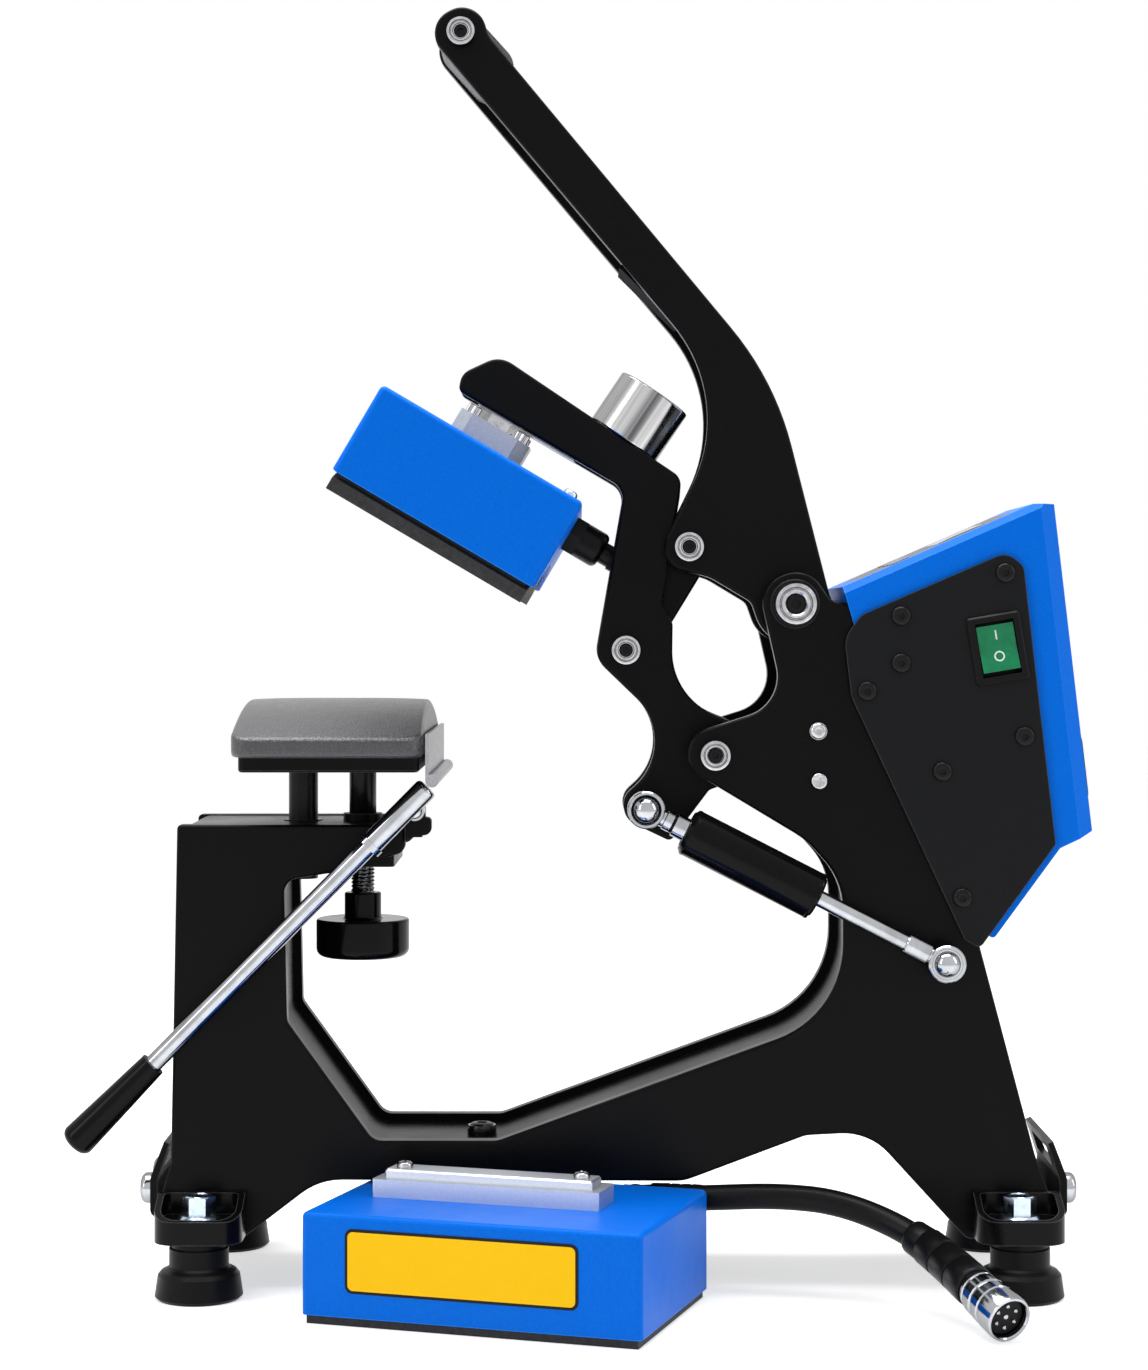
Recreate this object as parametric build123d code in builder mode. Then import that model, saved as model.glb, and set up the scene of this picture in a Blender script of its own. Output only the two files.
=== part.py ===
from build123d import *
import math
import os

# Cap heat press, a toggle press that closes a heated element on a curved platen.
# Millimetres, +Z up. The origin lies on the bench, midway between the two side plates.
# The operator stands at -X, the controller is at +X, and the near side is -Y.

os.makedirs("parts", exist_ok=True)

# ---------------------------------------------------------------- driving sizes

# layers, counted outwards from the middle plane
LINK_THICK = 18.0
ARM_THICK = 8.0
LEVER_THICK = 7.0
FRAME_WIDTH = 84.0
FRAME_THICK = 8.0
ARM_GAP = 0.5
LEVER_GAP = 1.5
BOSS_GAP = 0.5
EDGE_ROUND = 1.6

ARM_IN = LINK_THICK / 2 + ARM_GAP
ARM_OUT = ARM_IN + ARM_THICK
LEVER_IN = ARM_OUT + LEVER_GAP
LEVER_OUT = LEVER_IN + LEVER_THICK
FRAME_OUT = FRAME_WIDTH / 2
FRAME_IN = FRAME_OUT - FRAME_THICK

# pivots of the toggle, as (x, z)
LEVER_PIVOT = (98.9, 315.7)
ARM_PIVOT = (62.1, 246.2)
TOGGLE_PIVOT = (50.7, 342.3)
LINK_PIVOT = (21.5, 294.3)
GRIP_POINT = (-55.4, 581.6)
SPRING_FRONT = (30.1, 221.8)
SPRING_REAR = (167.0, 151.8)

LEVER_PIN_R = 6.0
ARM_PIN_R = 5.0
TOGGLE_PIN_R = 5.0
RUNNING_FIT = 0.05
LINK_EYE_CLEARANCE = 2.9

# turn of each body from open to closed, in degrees
LEVER_TURN = 41.5
ARM_TURN = 30.6

# guide column and platen
COLUMN_FRONT = -185.5
COLUMN_TOP = 214.0
TOP_PLATE_THICK = 5.0
OVERHANG_TIP = -80.5
POST_X = -131.2
POST_R = 6.9
SPINDLE_X = -103.0
JOURNAL_R = 6.4
THREAD_R = 5.7
BUSH_WALL = 2.1
KNOB_R = 22.0
KNOB_Z = 149.0
KNOB_HIGH = 18.0
NECK_R = 8.7
NECK_HIGH = 12.5
KNOB_SOCKET = 6.0
PLATEN_FRONT = -157.0
PLATEN_WIDE = 86.3
PLATEN_LONG = 160.0
PLATE_BASE_Z = 239.9
PLATE_HIGH = 6.7
PAD_SIDE_HIGH = 8.9
PAD_RISE = 15.9

# heating elements
ELEMENT_WIDE = 105.0
ELEMENT_LONG = 156.0
ELEMENT_HIGH = 45.0
ELEMENT_WALL = 2.0
ELEMENT_TOP = (-45.6, 388.6)
ELEMENT_SHIFT = 2.5
ELEMENT_TILT = 30.5
HEATER_THICK = 5.5
HEATER_GAP = 2.5
HEATER_INSET = 2.0
ADAPTER_SIZE = 37.0
ADAPTER_HIGH = 12.0
STUD_R = 5.0
CABLE_R = 5.2

# controller
COVER_HALF = 44.5
COVER_WALL = 2.0
SIDE_SHEET = 2.0

# gas spring
SPRING_Y = -55.0
TUBE_R = 11.0
TUBE_START = 20.6
TUBE_LONG = 67.4
ROD_R = 3.8
BALL_R = 5.0
RING_R = 8.3

# hold-down lever
HOLD_Y = -52.0
HOLD_PIVOT = (-75.5, 221.0)
HOLD_UNDER_PLATE = 3.9
HOLD_TOP = (-66.5, PLATE_BASE_Z - HOLD_UNDER_PLATE)
HOLD_GRIP_END = (-231.5, 68.6)

# feet
FRONT_FOOT_X = -173.4
REAR_FOOT_X = 200.3
FOOT_Y = 56.0
FOOT_HIGH = 26.0
FOOT_R = 20.0
FOOT_NECK_R = 13.5
TRAY_LONG = 40.0
TRAY_DEEP = 27.0
TRAY_HIGH = 19.5
TRAY_WALL = 3.0
TRAY_FLOOR = 9.5
TRAY_LIP = 1.2
TRAY_CORNER_R = 11.0
TRAY_BACK_R = 4.0
FOOT_BOLT_R = 4.0

# spare element lying in front
SPARE_CORNER = (58.4, -54.1)
SPARE_TURN = -18.0
SPARE_CABLE_R = 5.8


# ---------------------------------------------------------------- helpers

def save(piece, name):
    """Labels a finished piece and writes its STEP file."""
    piece.part.label = name
    export_step(piece.part, f"parts/{name}.step")


def layers(inner, outer):
    """The planes that a near plate and its mirror twin are extruded from, towards -Y."""
    return (("near", Plane.XZ.offset(inner)), ("far", Plane.XZ.offset(-outer)))


LOBE_FIT = 0.95


def lobe(centre, radius, start, end):
    """Two rounded corners that wrap a clockwise outline round a boss, between two headings."""
    step = (start - end) / 4
    reach = radius / math.cos(math.radians(step))
    corners = []
    for heading in (start - step, end + step):
        side = math.radians(heading + 90)
        x = centre[0] + reach * math.cos(side)
        z = centre[1] + reach * math.sin(side)
        corners.append((x, z, LOBE_FIT * radius))
    return corners


def rounded(corners):
    """The closed line through (x, z, radius) corners."""
    points = [(x, z) for x, z, radius in corners]
    return FilletPolyline(*points, radius=[radius for x, z, radius in corners], close=True)


def cross_rod(point, radius, low, high):
    """A round bar along Y through (x, z), from y = low to y = high."""
    place = Location((point[0], (low + high) / 2, point[1]), (90, 0, 0))
    with Locations(place):
        Cylinder(radius, high - low)


def cross_bore(point, radius, low, high):
    """A round hole along Y through (x, z)."""
    place = Location((point[0], (low + high) / 2, point[1]), (90, 0, 0))
    with Locations(place):
        Cylinder(radius, high - low, mode=Mode.SUBTRACT)


def cap_bolt(point, shank, head, head_high, near, far):
    """A socket head bolt along Y, with its head outside y = -near and a nut outside y = far."""
    cross_rod(point, shank, -near, far)
    cross_rod(point, head, -near - head_high, -near)
    cross_bore(point, head * 0.5, -near - head_high, -near - head_high * 0.4)
    with BuildSketch(Plane(origin=(point[0], far, point[1]), x_dir=(1, 0, 0), z_dir=(0, 1, 0))) as nut:
        RegularPolygon(head, 6)
    extrude(nut.sketch, amount=head_high * 0.7)


def rim(part, side):
    """The outline edges of the outer face of a plate."""
    outer = part.faces().sort_by(Axis.Y)
    face = outer[0] if side == "near" else outer[-1]
    return face.outer_wire().edges()


def turned(point, centre, degrees):
    """A point (x, z) turned about a centre, counter-clockwise as seen from the near side."""
    angle = math.radians(degrees)
    dx = point[0] - centre[0]
    dz = point[1] - centre[1]
    x = centre[0] + dx * math.cos(angle) - dz * math.sin(angle)
    z = centre[1] + dx * math.sin(angle) + dz * math.cos(angle)
    return (x, z)


def along(start, end, distance):
    """The point (x, z) at a distance from start towards end."""
    length = math.dist(start, end)
    return tuple(a + (b - a) * distance / length for a, b in zip(start, end))


# ---------------------------------------------------------------- side plates

# the mouth of the C, from the overhang tip round to the pivot tower, as (x, z, radius)
THROAT = [
    (OVERHANG_TIP, 201.5, 5),
    (-110, 192.5, 30),
    (-136.3, 188.5, 7),
    (-134.8, 123.5, 6),
    (-95, 68.6, 8),
    (-38, 68.6, 12),
    (121, 126.5, 46),
    (121, 188, 34),
    (104, 207, 40),
]

SIDE_OUTLINE = [
    (COLUMN_FRONT, COLUMN_TOP, 2),
    (OVERHANG_TIP, COLUMN_TOP, 2),
    *THROAT,
    *lobe(ARM_PIVOT, 12, 149, 14),
    (94.5, 269.5, 19),
    *lobe(LEVER_PIVOT, 14.5, 103, -55),
    (115.5, 317.4, 5),
    (141, 313, 5),
    (150, 276, 20),
    (184, 158.3, 60),
    (209.5, 62, 20),
    (216.2, 43.8, 8),
    (216.2, 23.5, 2),
    (178, 23.5, 5),
    (133, 72.5, 28),
    (104, 71, 14),
    (48, 50, 20),
    (-120, 50.5, 30),
    (-155.5, 23.5, 3),
    (-193.2, 23.5, 2),
    (-193.2, 42.5, 6),
    (-188.4, 58, 8),
]

TIE_POINTS = [(109.5, 257.2), (109.9, 234.2)]

for side, plane in layers(FRAME_IN, FRAME_OUT):
    with BuildPart() as side_plate:
        with BuildSketch(plane):
            with BuildLine():
                rounded(SIDE_OUTLINE)
            make_face()
        extrude(amount=FRAME_THICK)
        fillet(rim(side_plate, side), radius=EDGE_ROUND)
        sign = -1 if side == "near" else 1
        for pivot, boss_end, boss_r in (
            (LEVER_PIVOT, LEVER_OUT + BOSS_GAP, LEVER_PIN_R + 6),
            (ARM_PIVOT, ARM_OUT + BOSS_GAP, ARM_PIN_R + 6),
        ):
            ends = sorted((sign * boss_end, sign * FRAME_IN))
            cross_rod(pivot, boss_r, *ends)
        ends = sorted((sign * ARM_OUT, sign * (FRAME_OUT + 1)))
        cross_bore(LEVER_PIVOT, LEVER_PIN_R, *ends)
        cross_bore(ARM_PIVOT, ARM_PIN_R, *ends)
        for point in TIE_POINTS:
            cross_bore(point, 2.5, *ends)
        cross_bore(SPRING_REAR, 4.0, *ends)
    save(side_plate, f"side_plate_{side}")

# ---------------------------------------------------------------- frame between the plates

BLOCK_Z = COLUMN_TOP - TOP_PLATE_THICK - 0.5
BLOCK_BASE_Z = 194.0
COLLAR_R = 9.2

# folded front wall and top of the column
with BuildPart() as column_cover:
    with BuildSketch(Plane.XZ.offset(-FRAME_IN)):
        with BuildLine():
            FilletPolyline(
                (COLUMN_FRONT - 2.6, 60),
                (COLUMN_FRONT + 0.5, COLUMN_TOP - 0.5),
                (OVERHANG_TIP, COLUMN_TOP - 0.5),
                (OVERHANG_TIP, BLOCK_Z),
                (COLUMN_FRONT + 5.5, BLOCK_Z),
                (COLUMN_FRONT + 2.4, 60),
                radius=[0, 6, 0, 0, 2, 0],
                close=True,
            )
        make_face()
    extrude(amount=2 * FRAME_IN)
    with Locations((POST_X, 0, COLUMN_TOP), (SPINDLE_X, 0, COLUMN_TOP)):
        Cylinder(COLLAR_R + 0.1, 4 * TOP_PLATE_THICK, mode=Mode.SUBTRACT)
save(column_cover, "column_cover")

# machined block that guides the post and carries the spindle thread
with BuildPart() as guide_block:
    with BuildSketch(Plane.XY.offset(BLOCK_BASE_Z)):
        with Locations(((POST_X + SPINDLE_X) / 2 - 1, 0)):
            RectangleRounded(64, 2 * FRAME_IN, 3)
    extrude(amount=BLOCK_Z - BLOCK_BASE_Z)
    with BuildSketch(Plane.XY.offset(BLOCK_Z)):
        with Locations((SPINDLE_X, 0)):
            Circle(COLLAR_R)
    extrude(amount=COLUMN_TOP + 3 - BLOCK_Z)
    with Locations((POST_X, 0, BLOCK_Z)):
        Cylinder(POST_R + BUSH_WALL, 60, mode=Mode.SUBTRACT)
    with BuildSketch(Plane.XY.offset(BLOCK_BASE_Z + 8)):
        with Locations((SPINDLE_X, 0)):
            Circle(JOURNAL_R + RUNNING_FIT)
    extrude(amount=60, mode=Mode.SUBTRACT)
    with Locations((SPINDLE_X, 0, BLOCK_BASE_Z)):
        Cylinder(THREAD_R + RUNNING_FIT, 30, mode=Mode.SUBTRACT)
save(guide_block, "guide_block")

with BuildPart() as guide_bush:
    with BuildSketch(Plane.XY.offset(BLOCK_BASE_Z)):
        with Locations((POST_X, 0)):
            Circle(POST_R + BUSH_WALL)
            Circle(POST_R + RUNNING_FIT, mode=Mode.SUBTRACT)
    extrude(amount=COLUMN_TOP - BLOCK_BASE_Z)
save(guide_bush, "guide_bush")

# folded plate that lines the mouth of the C, set back from the plates' edges
WEB_SETBACK = 4.0
WEB_THICK = 5.0
WEB_TOP_Z = 183.0
MOUTH = [(THROAT[2][0], 240, 0), *THROAT[3:7], (THROAT[7][0], 240, 0)]
with BuildPart() as throat_web:
    with BuildSketch(Plane.XZ.offset(-FRAME_IN)):
        with BuildLine():
            rounded(MOUTH)
        make_face()
        offset(amount=WEB_SETBACK + WEB_THICK)
        with BuildSketch(mode=Mode.SUBTRACT):
            with BuildLine():
                rounded(MOUTH)
            make_face()
            offset(amount=WEB_SETBACK)
        with Locations((0, WEB_TOP_Z)):
            Rectangle(400, 200, align=(Align.CENTER, Align.MIN), mode=Mode.SUBTRACT)
    extrude(amount=2 * FRAME_IN)
save(throat_web, "throat_web")

# folded plate that closes the back of the frame
REAR_WEB = [(181.5, 150), (206.5, 60), (211.5, 45), (211.5, 30)]
with BuildPart() as rear_web:
    with BuildSketch(Plane.XZ.offset(-FRAME_IN)):
        with BuildLine():
            front = FilletPolyline(*[(x - 4, z) for x, z in REAR_WEB], radius=12)
            back = FilletPolyline(*REAR_WEB, radius=12)
            Line(front @ 0, back @ 0)
            Line(front @ 1, back @ 1)
        make_face()
    extrude(amount=2 * FRAME_IN)
save(rear_web, "rear_web")

# folded straps over the ends of the frame, and the bolts that hold them: (x, which way out)
STRAP_ENDS = ((-190.0, -1), (216.5, 1))
STRAP_REACH = 9.0
STRAP_BOLT_Z = 43.0
STRAP_BOLT_R = 7.0

# long bolts that hold the side plates together
with BuildPart() as tie_bolts:
    for point in TIE_POINTS:
        cross_rod(point, 2.5, -FRAME_OUT, FRAME_OUT)
        cross_rod(point, 4.0, -FRAME_OUT - 2.4, -FRAME_OUT)
        cross_rod(point, 4.0, FRAME_OUT, FRAME_OUT + 2.4)
    with Locations((-46.5, 0, THROAT[5][1] - WEB_SETBACK)):
        Cylinder(6.5, 4.5, align=(Align.CENTER, Align.CENTER, Align.MIN))
    fillet(tie_bolts.faces().sort_by(Axis.Y)[0].edges(), radius=0.6)
    for x, way in STRAP_ENDS:
        with BuildSketch(Plane(origin=(x + way * STRAP_REACH, 0, STRAP_BOLT_Z), z_dir=(way, 0, 0))) as head:
            with Locations((0, 20), (0, -20)):
                Circle(STRAP_BOLT_R)
        extrude(head.sketch, amount=2)
        extrude(head.sketch, amount=4, taper=40)
save(tie_bolts, "tie_bolts")

# ---------------------------------------------------------------- feet

TRAY_BASE_Z = FOOT_HIGH
FEET = {
    "front_near": (FRONT_FOOT_X, -FOOT_Y),
    "front_far": (FRONT_FOOT_X, FOOT_Y),
    "rear_near": (REAR_FOOT_X, -FOOT_Y),
    "rear_far": (REAR_FOOT_X, FOOT_Y),
}

# cast trays welded to the outside of the side plates, their side walls sloping down to the front lip
with BuildPart() as foot_brackets:
    for x, y in FEET.values():
        out = math.copysign(1, y)
        back = out * FRAME_OUT
        lip = out * (FRAME_OUT + TRAY_DEEP)
        floor_z = TRAY_BASE_Z + TRAY_FLOOR
        for base, height, inset, corner, mode in (
            (TRAY_BASE_Z, TRAY_HIGH, 0, TRAY_CORNER_R, Mode.ADD),
            (floor_z, TRAY_HIGH, TRAY_WALL, TRAY_CORNER_R - TRAY_WALL, Mode.SUBTRACT),
        ):
            left = x - TRAY_LONG / 2 + inset
            right = x + TRAY_LONG / 2 - inset
            with BuildSketch(Plane.XY.offset(base)) as tray:
                with BuildLine():
                    FilletPolyline(
                        (left, back + out * inset),
                        (right, back + out * inset),
                        (right, lip - out * inset),
                        (left, lip - out * inset),
                        radius=[TRAY_BACK_R, TRAY_BACK_R, corner, corner],
                        close=True,
                    )
                make_face()
            extrude(tray.sketch, amount=height, mode=mode)
        with BuildSketch(Plane.YZ.offset(x - TRAY_LONG)) as slope:
            with BuildLine():
                Polyline(
                    (back + out * (TRAY_WALL + 2), TRAY_BASE_Z + TRAY_HIGH),
                    (lip - out * 2, floor_z + TRAY_LIP),
                    (lip + out, floor_z + TRAY_LIP),
                    (lip + out, TRAY_BASE_Z + TRAY_HIGH + 1),
                    (back + out * (TRAY_WALL + 2), TRAY_BASE_Z + TRAY_HIGH + 1),
                    close=True,
                )
            make_face()
        extrude(slope.sketch, amount=2 * TRAY_LONG, mode=Mode.SUBTRACT)
        with Locations((x, y, TRAY_BASE_Z)):
            Cylinder(FOOT_BOLT_R, 4 * TRAY_FLOOR, mode=Mode.SUBTRACT)
save(foot_brackets, "foot_brackets")

for place, (x, y) in FEET.items():
    with BuildPart() as rubber_foot:
        with BuildSketch(Plane.XZ.offset(-y)):
            with BuildLine():
                Polyline(
                    (x, 0),
                    (x + FOOT_R - 1.5, 0),
                    (x + FOOT_R, 1.5),
                    (x + FOOT_R - 1.4, 11),
                    (x + FOOT_R - 3, 12.8),
                    (x + FOOT_NECK_R + 1, 14),
                    (x + FOOT_NECK_R, 15),
                    (x + FOOT_NECK_R, FOOT_HIGH - 3),
                    (x + FOOT_NECK_R - 1.2, FOOT_HIGH - 2.6),
                    (x + FOOT_NECK_R - 1.2, FOOT_HIGH),
                    (x, FOOT_HIGH),
                    close=True,
                )
            make_face()
        revolve(axis=Axis((x, y, 0), (0, 0, 1)))
        with Locations((x, y, FOOT_HIGH)):
            Cylinder(FOOT_BOLT_R, 24, mode=Mode.SUBTRACT)
    save(rubber_foot, f"rubber_foot_{place}")

# flanged hexagon bolts that hold the feet under their trays
with BuildPart() as foot_bolts:
    for x, y in FEET.values():
        shelf = TRAY_BASE_Z + TRAY_FLOOR
        bolt_long = TRAY_FLOOR + 11
        with Locations((x, y, shelf - bolt_long)):
            Cylinder(FOOT_BOLT_R, bolt_long, align=(Align.CENTER, Align.CENTER, Align.MIN))
        with Locations((x, y, shelf)):
            Cylinder(8.4, 1.6, align=(Align.CENTER, Align.CENTER, Align.MIN))
        with BuildSketch(Plane.XY.offset(shelf)):
            with Locations((x, y)):
                RegularPolygon(7.5, 6)
        extrude(amount=10.5)
save(foot_bolts, "foot_bolts")

with BuildPart() as end_straps:
    for x, way in STRAP_ENDS:
        outer = x + way * STRAP_REACH
        inner = outer - way * 3.5
        with BuildSketch(Plane.XZ.offset(-FRAME_IN)):
            with BuildLine():
                FilletPolyline(
                    (x, 66),
                    (x + way * 2.5, 67),
                    (outer, 50),
                    (outer, 34),
                    (outer - way * 5, 29),
                    (inner - way * 3, 31),
                    (inner, 35),
                    (inner, 49),
                    radius=[0, 0, 5, 4, 0, 0, 3, 4],
                    close=True,
                )
            make_face()
        extrude(amount=2 * FRAME_IN)
        with Locations((x + way * 3, 0, 58)):
            Box(20, 2 * FRAME_IN - 24, 9, mode=Mode.SUBTRACT)
save(end_straps, "end_straps")

# ---------------------------------------------------------------- pivot bolts on the frame

for name, pivot, shank, head, head_high in (
    ("lever_pivot_bolt", LEVER_PIVOT, LEVER_PIN_R, 9.2, 8.0),
    ("arm_pivot_bolt", ARM_PIVOT, ARM_PIN_R, 6.6, 7.0),
):
    with BuildPart() as pivot_bolt:
        cap_bolt(pivot, shank, head, head_high, FRAME_OUT, FRAME_OUT)
        chamfer(pivot_bolt.faces().sort_by(Axis.Y)[0].edges(), length=0.7)
    save(pivot_bolt, name)

# ball stud that carries the rear end of the gas spring
with BuildPart() as spring_stud_rear:
    cross_rod(SPRING_REAR, 6.5, -FRAME_OUT - 2.5, -FRAME_OUT)
    cross_rod(SPRING_REAR, 4.0, -FRAME_OUT, -FRAME_IN)
    cross_rod(SPRING_REAR, 3.0, SPRING_Y, -FRAME_OUT)
    with Locations((SPRING_REAR[0], SPRING_Y, SPRING_REAR[1])):
        Sphere(BALL_R)
save(spring_stud_rear, "spring_stud_rear")

# ---------------------------------------------------------------- controller

CTRL_SIDE = [
    (129.1, 310.6, 8),
    (195.5, 339.4, 8),
    (203.5, 333, 6),
    (210.8, 268.8, 60),
    (218.2, 205.5, 2),
    (183.3, 157.6, 3),
    (176.4, 161.8, 2),
    (124.5, 273, 12),
    (121.3, 300, 12),
]

COVER_OUTLINE = [
    (120.8, 323.5, 0),
    (208.5, 361.8, 0),
    (218.8, 361.8, 0),
    (236.4, 211, 0),
    (220.5, 203.5, 2),
    (189, 160.5, 2),
    (126, 306, 2),
]

REAR_BEVEL = 7.0
TOP_BEVEL = 3.0

# mains inlet on the rear wall of the cover
INLET_WIDE = 27.0
INLET_TALL = 20.0
INLET_WALL = 2.0
rear_run = math.dist(COVER_OUTLINE[2][:2], COVER_OUTLINE[3][:2])
INLET_FROM_TOP = 123.0
inlet_at = along(COVER_OUTLINE[2][:2], COVER_OUTLINE[3][:2], INLET_FROM_TOP)
rear_lean = math.atan2(COVER_OUTLINE[3][0] - COVER_OUTLINE[2][0], COVER_OUTLINE[2][1] - COVER_OUTLINE[3][1])
inlet_plane = Plane(
    origin=(inlet_at[0], 0, inlet_at[1]),
    x_dir=(0, 1, 0),
    z_dir=(math.cos(rear_lean), 0, math.sin(rear_lean)),
)

# control panel let into the sloping top of the cover
PANEL_LONG = 78.0
PANEL_WIDE = 74.0
PANEL_SUNK = 1.0
PANEL_FROM_FRONT = 48.2
panel_at = along(COVER_OUTLINE[0][:2], COVER_OUTLINE[1][:2], PANEL_FROM_FRONT)
panel_slope = math.atan2(COVER_OUTLINE[1][1] - COVER_OUTLINE[0][1], COVER_OUTLINE[1][0] - COVER_OUTLINE[0][0])
panel_plane = Plane(
    origin=(panel_at[0], 0, panel_at[1]),
    x_dir=(math.cos(panel_slope), 0, math.sin(panel_slope)),
    z_dir=(-math.sin(panel_slope), 0, math.cos(panel_slope)),
)

with BuildPart() as controller_cover:
    with BuildSketch(Plane.XZ.offset(-COVER_HALF)):
        with BuildLine():
            rounded(COVER_OUTLINE)
        make_face()
    extrude(amount=2 * COVER_HALF)
    rims = controller_cover.edges().filter_by(lambda e: e.length > 80 and abs(e.center().Y) > COVER_HALF - 1)
    chamfer(rims.filter_by(lambda e: e.center().X > 224), length=REAR_BEVEL)
    rims = controller_cover.edges().filter_by(lambda e: e.length > 80 and abs(e.center().Y) > COVER_HALF - 1)
    chamfer(rims.filter_by(lambda e: e.center().Z > 335 and e.center().X < 200), length=TOP_BEVEL)
    with BuildSketch(Plane.XZ.offset(-COVER_HALF + 6)):
        with BuildLine():
            rounded(COVER_OUTLINE)
        make_face()
        offset(amount=-COVER_WALL)
    extrude(amount=2 * COVER_HALF - 12, mode=Mode.SUBTRACT)
    with BuildSketch(Plane.XZ.offset(-COVER_HALF)):
        with BuildLine():
            rounded(CTRL_SIDE)
        make_face()
        offset(amount=-1.0)
    extrude(amount=2 * COVER_HALF, mode=Mode.SUBTRACT)
    plate_room = FRAME_OUT + 0.2
    for low, high in ((-plate_room, -FRAME_IN), (FRAME_IN, plate_room)):
        with BuildSketch(Plane.XZ.offset(-high)):
            with BuildLine():
                Polyline((110, 320), (150, 320), (154, 272), (189.5, 155), (110, 155), close=True)
            make_face()
        extrude(amount=high - low, mode=Mode.SUBTRACT)
    with BuildSketch(inlet_plane.offset(-COVER_WALL - 1)):
        Rectangle(INLET_WIDE + 2 * INLET_WALL, INLET_TALL + 2 * INLET_WALL)
    extrude(amount=COVER_WALL + 3, mode=Mode.SUBTRACT)
    with BuildSketch(panel_plane):
        RectangleRounded(PANEL_LONG, PANEL_WIDE, 4)
    extrude(amount=-PANEL_SUNK, mode=Mode.SUBTRACT)
save(controller_cover, "controller_cover")

INLET_DEEP = 18.0
with BuildPart() as power_inlet:
    with BuildSketch(inlet_plane):
        RectangleRounded(INLET_WIDE + 22, INLET_TALL + 8, 3)
    extrude(amount=2.5)
    with BuildSketch(inlet_plane):
        Rectangle(INLET_WIDE + 2 * INLET_WALL, INLET_TALL + 2 * INLET_WALL)
    extrude(amount=-INLET_DEEP)
    with BuildSketch(inlet_plane.offset(2.5)):
        RectangleRounded(INLET_WIDE, INLET_TALL, 2)
    extrude(amount=-INLET_DEEP, mode=Mode.SUBTRACT)
    with BuildSketch(inlet_plane.offset(-INLET_DEEP + 2)):
        with Locations((0, 3), (-7, -3), (7, -3)):
            Rectangle(2, 4)
    extrude(amount=10)
save(power_inlet, "power_inlet")

SWITCH_AT = (191.5, 295.3)
SWITCH_TURN = 9.5
SWITCH_WIDE = 24.5
SWITCH_TALL = 31.5
SWITCH_FACE = -COVER_HALF - SIDE_SHEET


def switch_plane(y):
    """The switch's own plane, facing the near side."""
    turn = math.radians(SWITCH_TURN)
    return Plane(
        origin=(SWITCH_AT[0], y, SWITCH_AT[1]),
        x_dir=(math.cos(turn), 0, math.sin(turn)),
        z_dir=(0, -1, 0),
    )


with BuildPart() as controller_sides:
    for low in (-COVER_HALF - SIDE_SHEET, COVER_HALF):
        with BuildSketch(Plane.XZ.offset(-low - SIDE_SHEET)):
            with BuildLine():
                rounded(CTRL_SIDE)
            make_face()
        extrude(amount=SIDE_SHEET)
    with BuildSketch(switch_plane(SWITCH_FACE - 1)):
        Rectangle(SWITCH_WIDE - 3, SWITCH_TALL - 3)
    extrude(amount=-2 - SIDE_SHEET, mode=Mode.SUBTRACT)
save(controller_sides, "controller_sides")

with BuildPart() as switch_bezel:
    with BuildSketch(switch_plane(SWITCH_FACE)):
        RectangleRounded(SWITCH_WIDE, SWITCH_TALL, 1.5)
    extrude(amount=2.2)
    chamfer(switch_bezel.faces().sort_by(Axis.Y)[0].edges(), length=0.8)
    with BuildSketch(switch_plane(SWITCH_FACE)):
        Rectangle(SWITCH_WIDE - 3.4, SWITCH_TALL - 3.4)
    extrude(amount=-16)
    with BuildSketch(switch_plane(SWITCH_FACE - 2.2)):
        Rectangle(SWITCH_WIDE - 6.5, SWITCH_TALL - 6.5)
    extrude(amount=-13, mode=Mode.SUBTRACT)
save(switch_bezel, "switch_bezel")

ROCKER_DEEP = 6.0
with BuildPart() as switch_rocker:
    with BuildSketch(Plane(switch_plane(SWITCH_FACE).location * Location((0, 0, 0), (0, 90, 0)))):
        with BuildLine():
            half = SWITCH_TALL / 2 - 4.6
            Polyline(
                (ROCKER_DEEP, -half + 1.6),
                (-3.4, -half + 0.8),
                (-1.2, 0),
                (-1.6, half - 0.2),
                (ROCKER_DEEP, half - 1.6),
                close=True,
            )
        make_face()
    extrude(amount=SWITCH_WIDE / 2 - 3.7, both=True)
save(switch_rocker, "switch_rocker")

with BuildPart() as control_panel:
    with BuildSketch(panel_plane.offset(-PANEL_SUNK)):
        RectangleRounded(PANEL_LONG, PANEL_WIDE, 4)
    extrude(amount=PANEL_SUNK)
save(control_panel, "control_panel")

# ---------------------------------------------------------------- operating lever

LEVER_OUTLINE = [
    *lobe(GRIP_POINT, 12, 130, -75),
    (-42.8, 580.8, 12),
    (90.9, 420, 140),
    *lobe(LEVER_PIVOT, 18, -76, -250),
    (79.8, 316.6, 6),
    (60.5, 328.2, 20),
    *lobe(TOGGLE_PIVOT, 11.5, 165, 66),
    (72.2, 411.8, 69),
]
GRIP_BOLT_R = 4.0

with BuildPart() as lever_plates:
    for side, plane in layers(LEVER_IN, LEVER_OUT):
        with BuildSketch(plane):
            with BuildLine():
                rounded(LEVER_OUTLINE)
            make_face()
        extrude(amount=LEVER_THICK)
        fillet(rim(lever_plates, side), radius=EDGE_ROUND)
    cross_bore(LEVER_PIVOT, LEVER_PIN_R + RUNNING_FIT, -LEVER_OUT, LEVER_OUT)
    cross_bore(TOGGLE_PIVOT, TOGGLE_PIN_R, -LEVER_OUT, LEVER_OUT)
    cross_bore(GRIP_POINT, GRIP_BOLT_R, -LEVER_OUT, LEVER_OUT)
save(lever_plates, "lever_plates")

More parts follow.
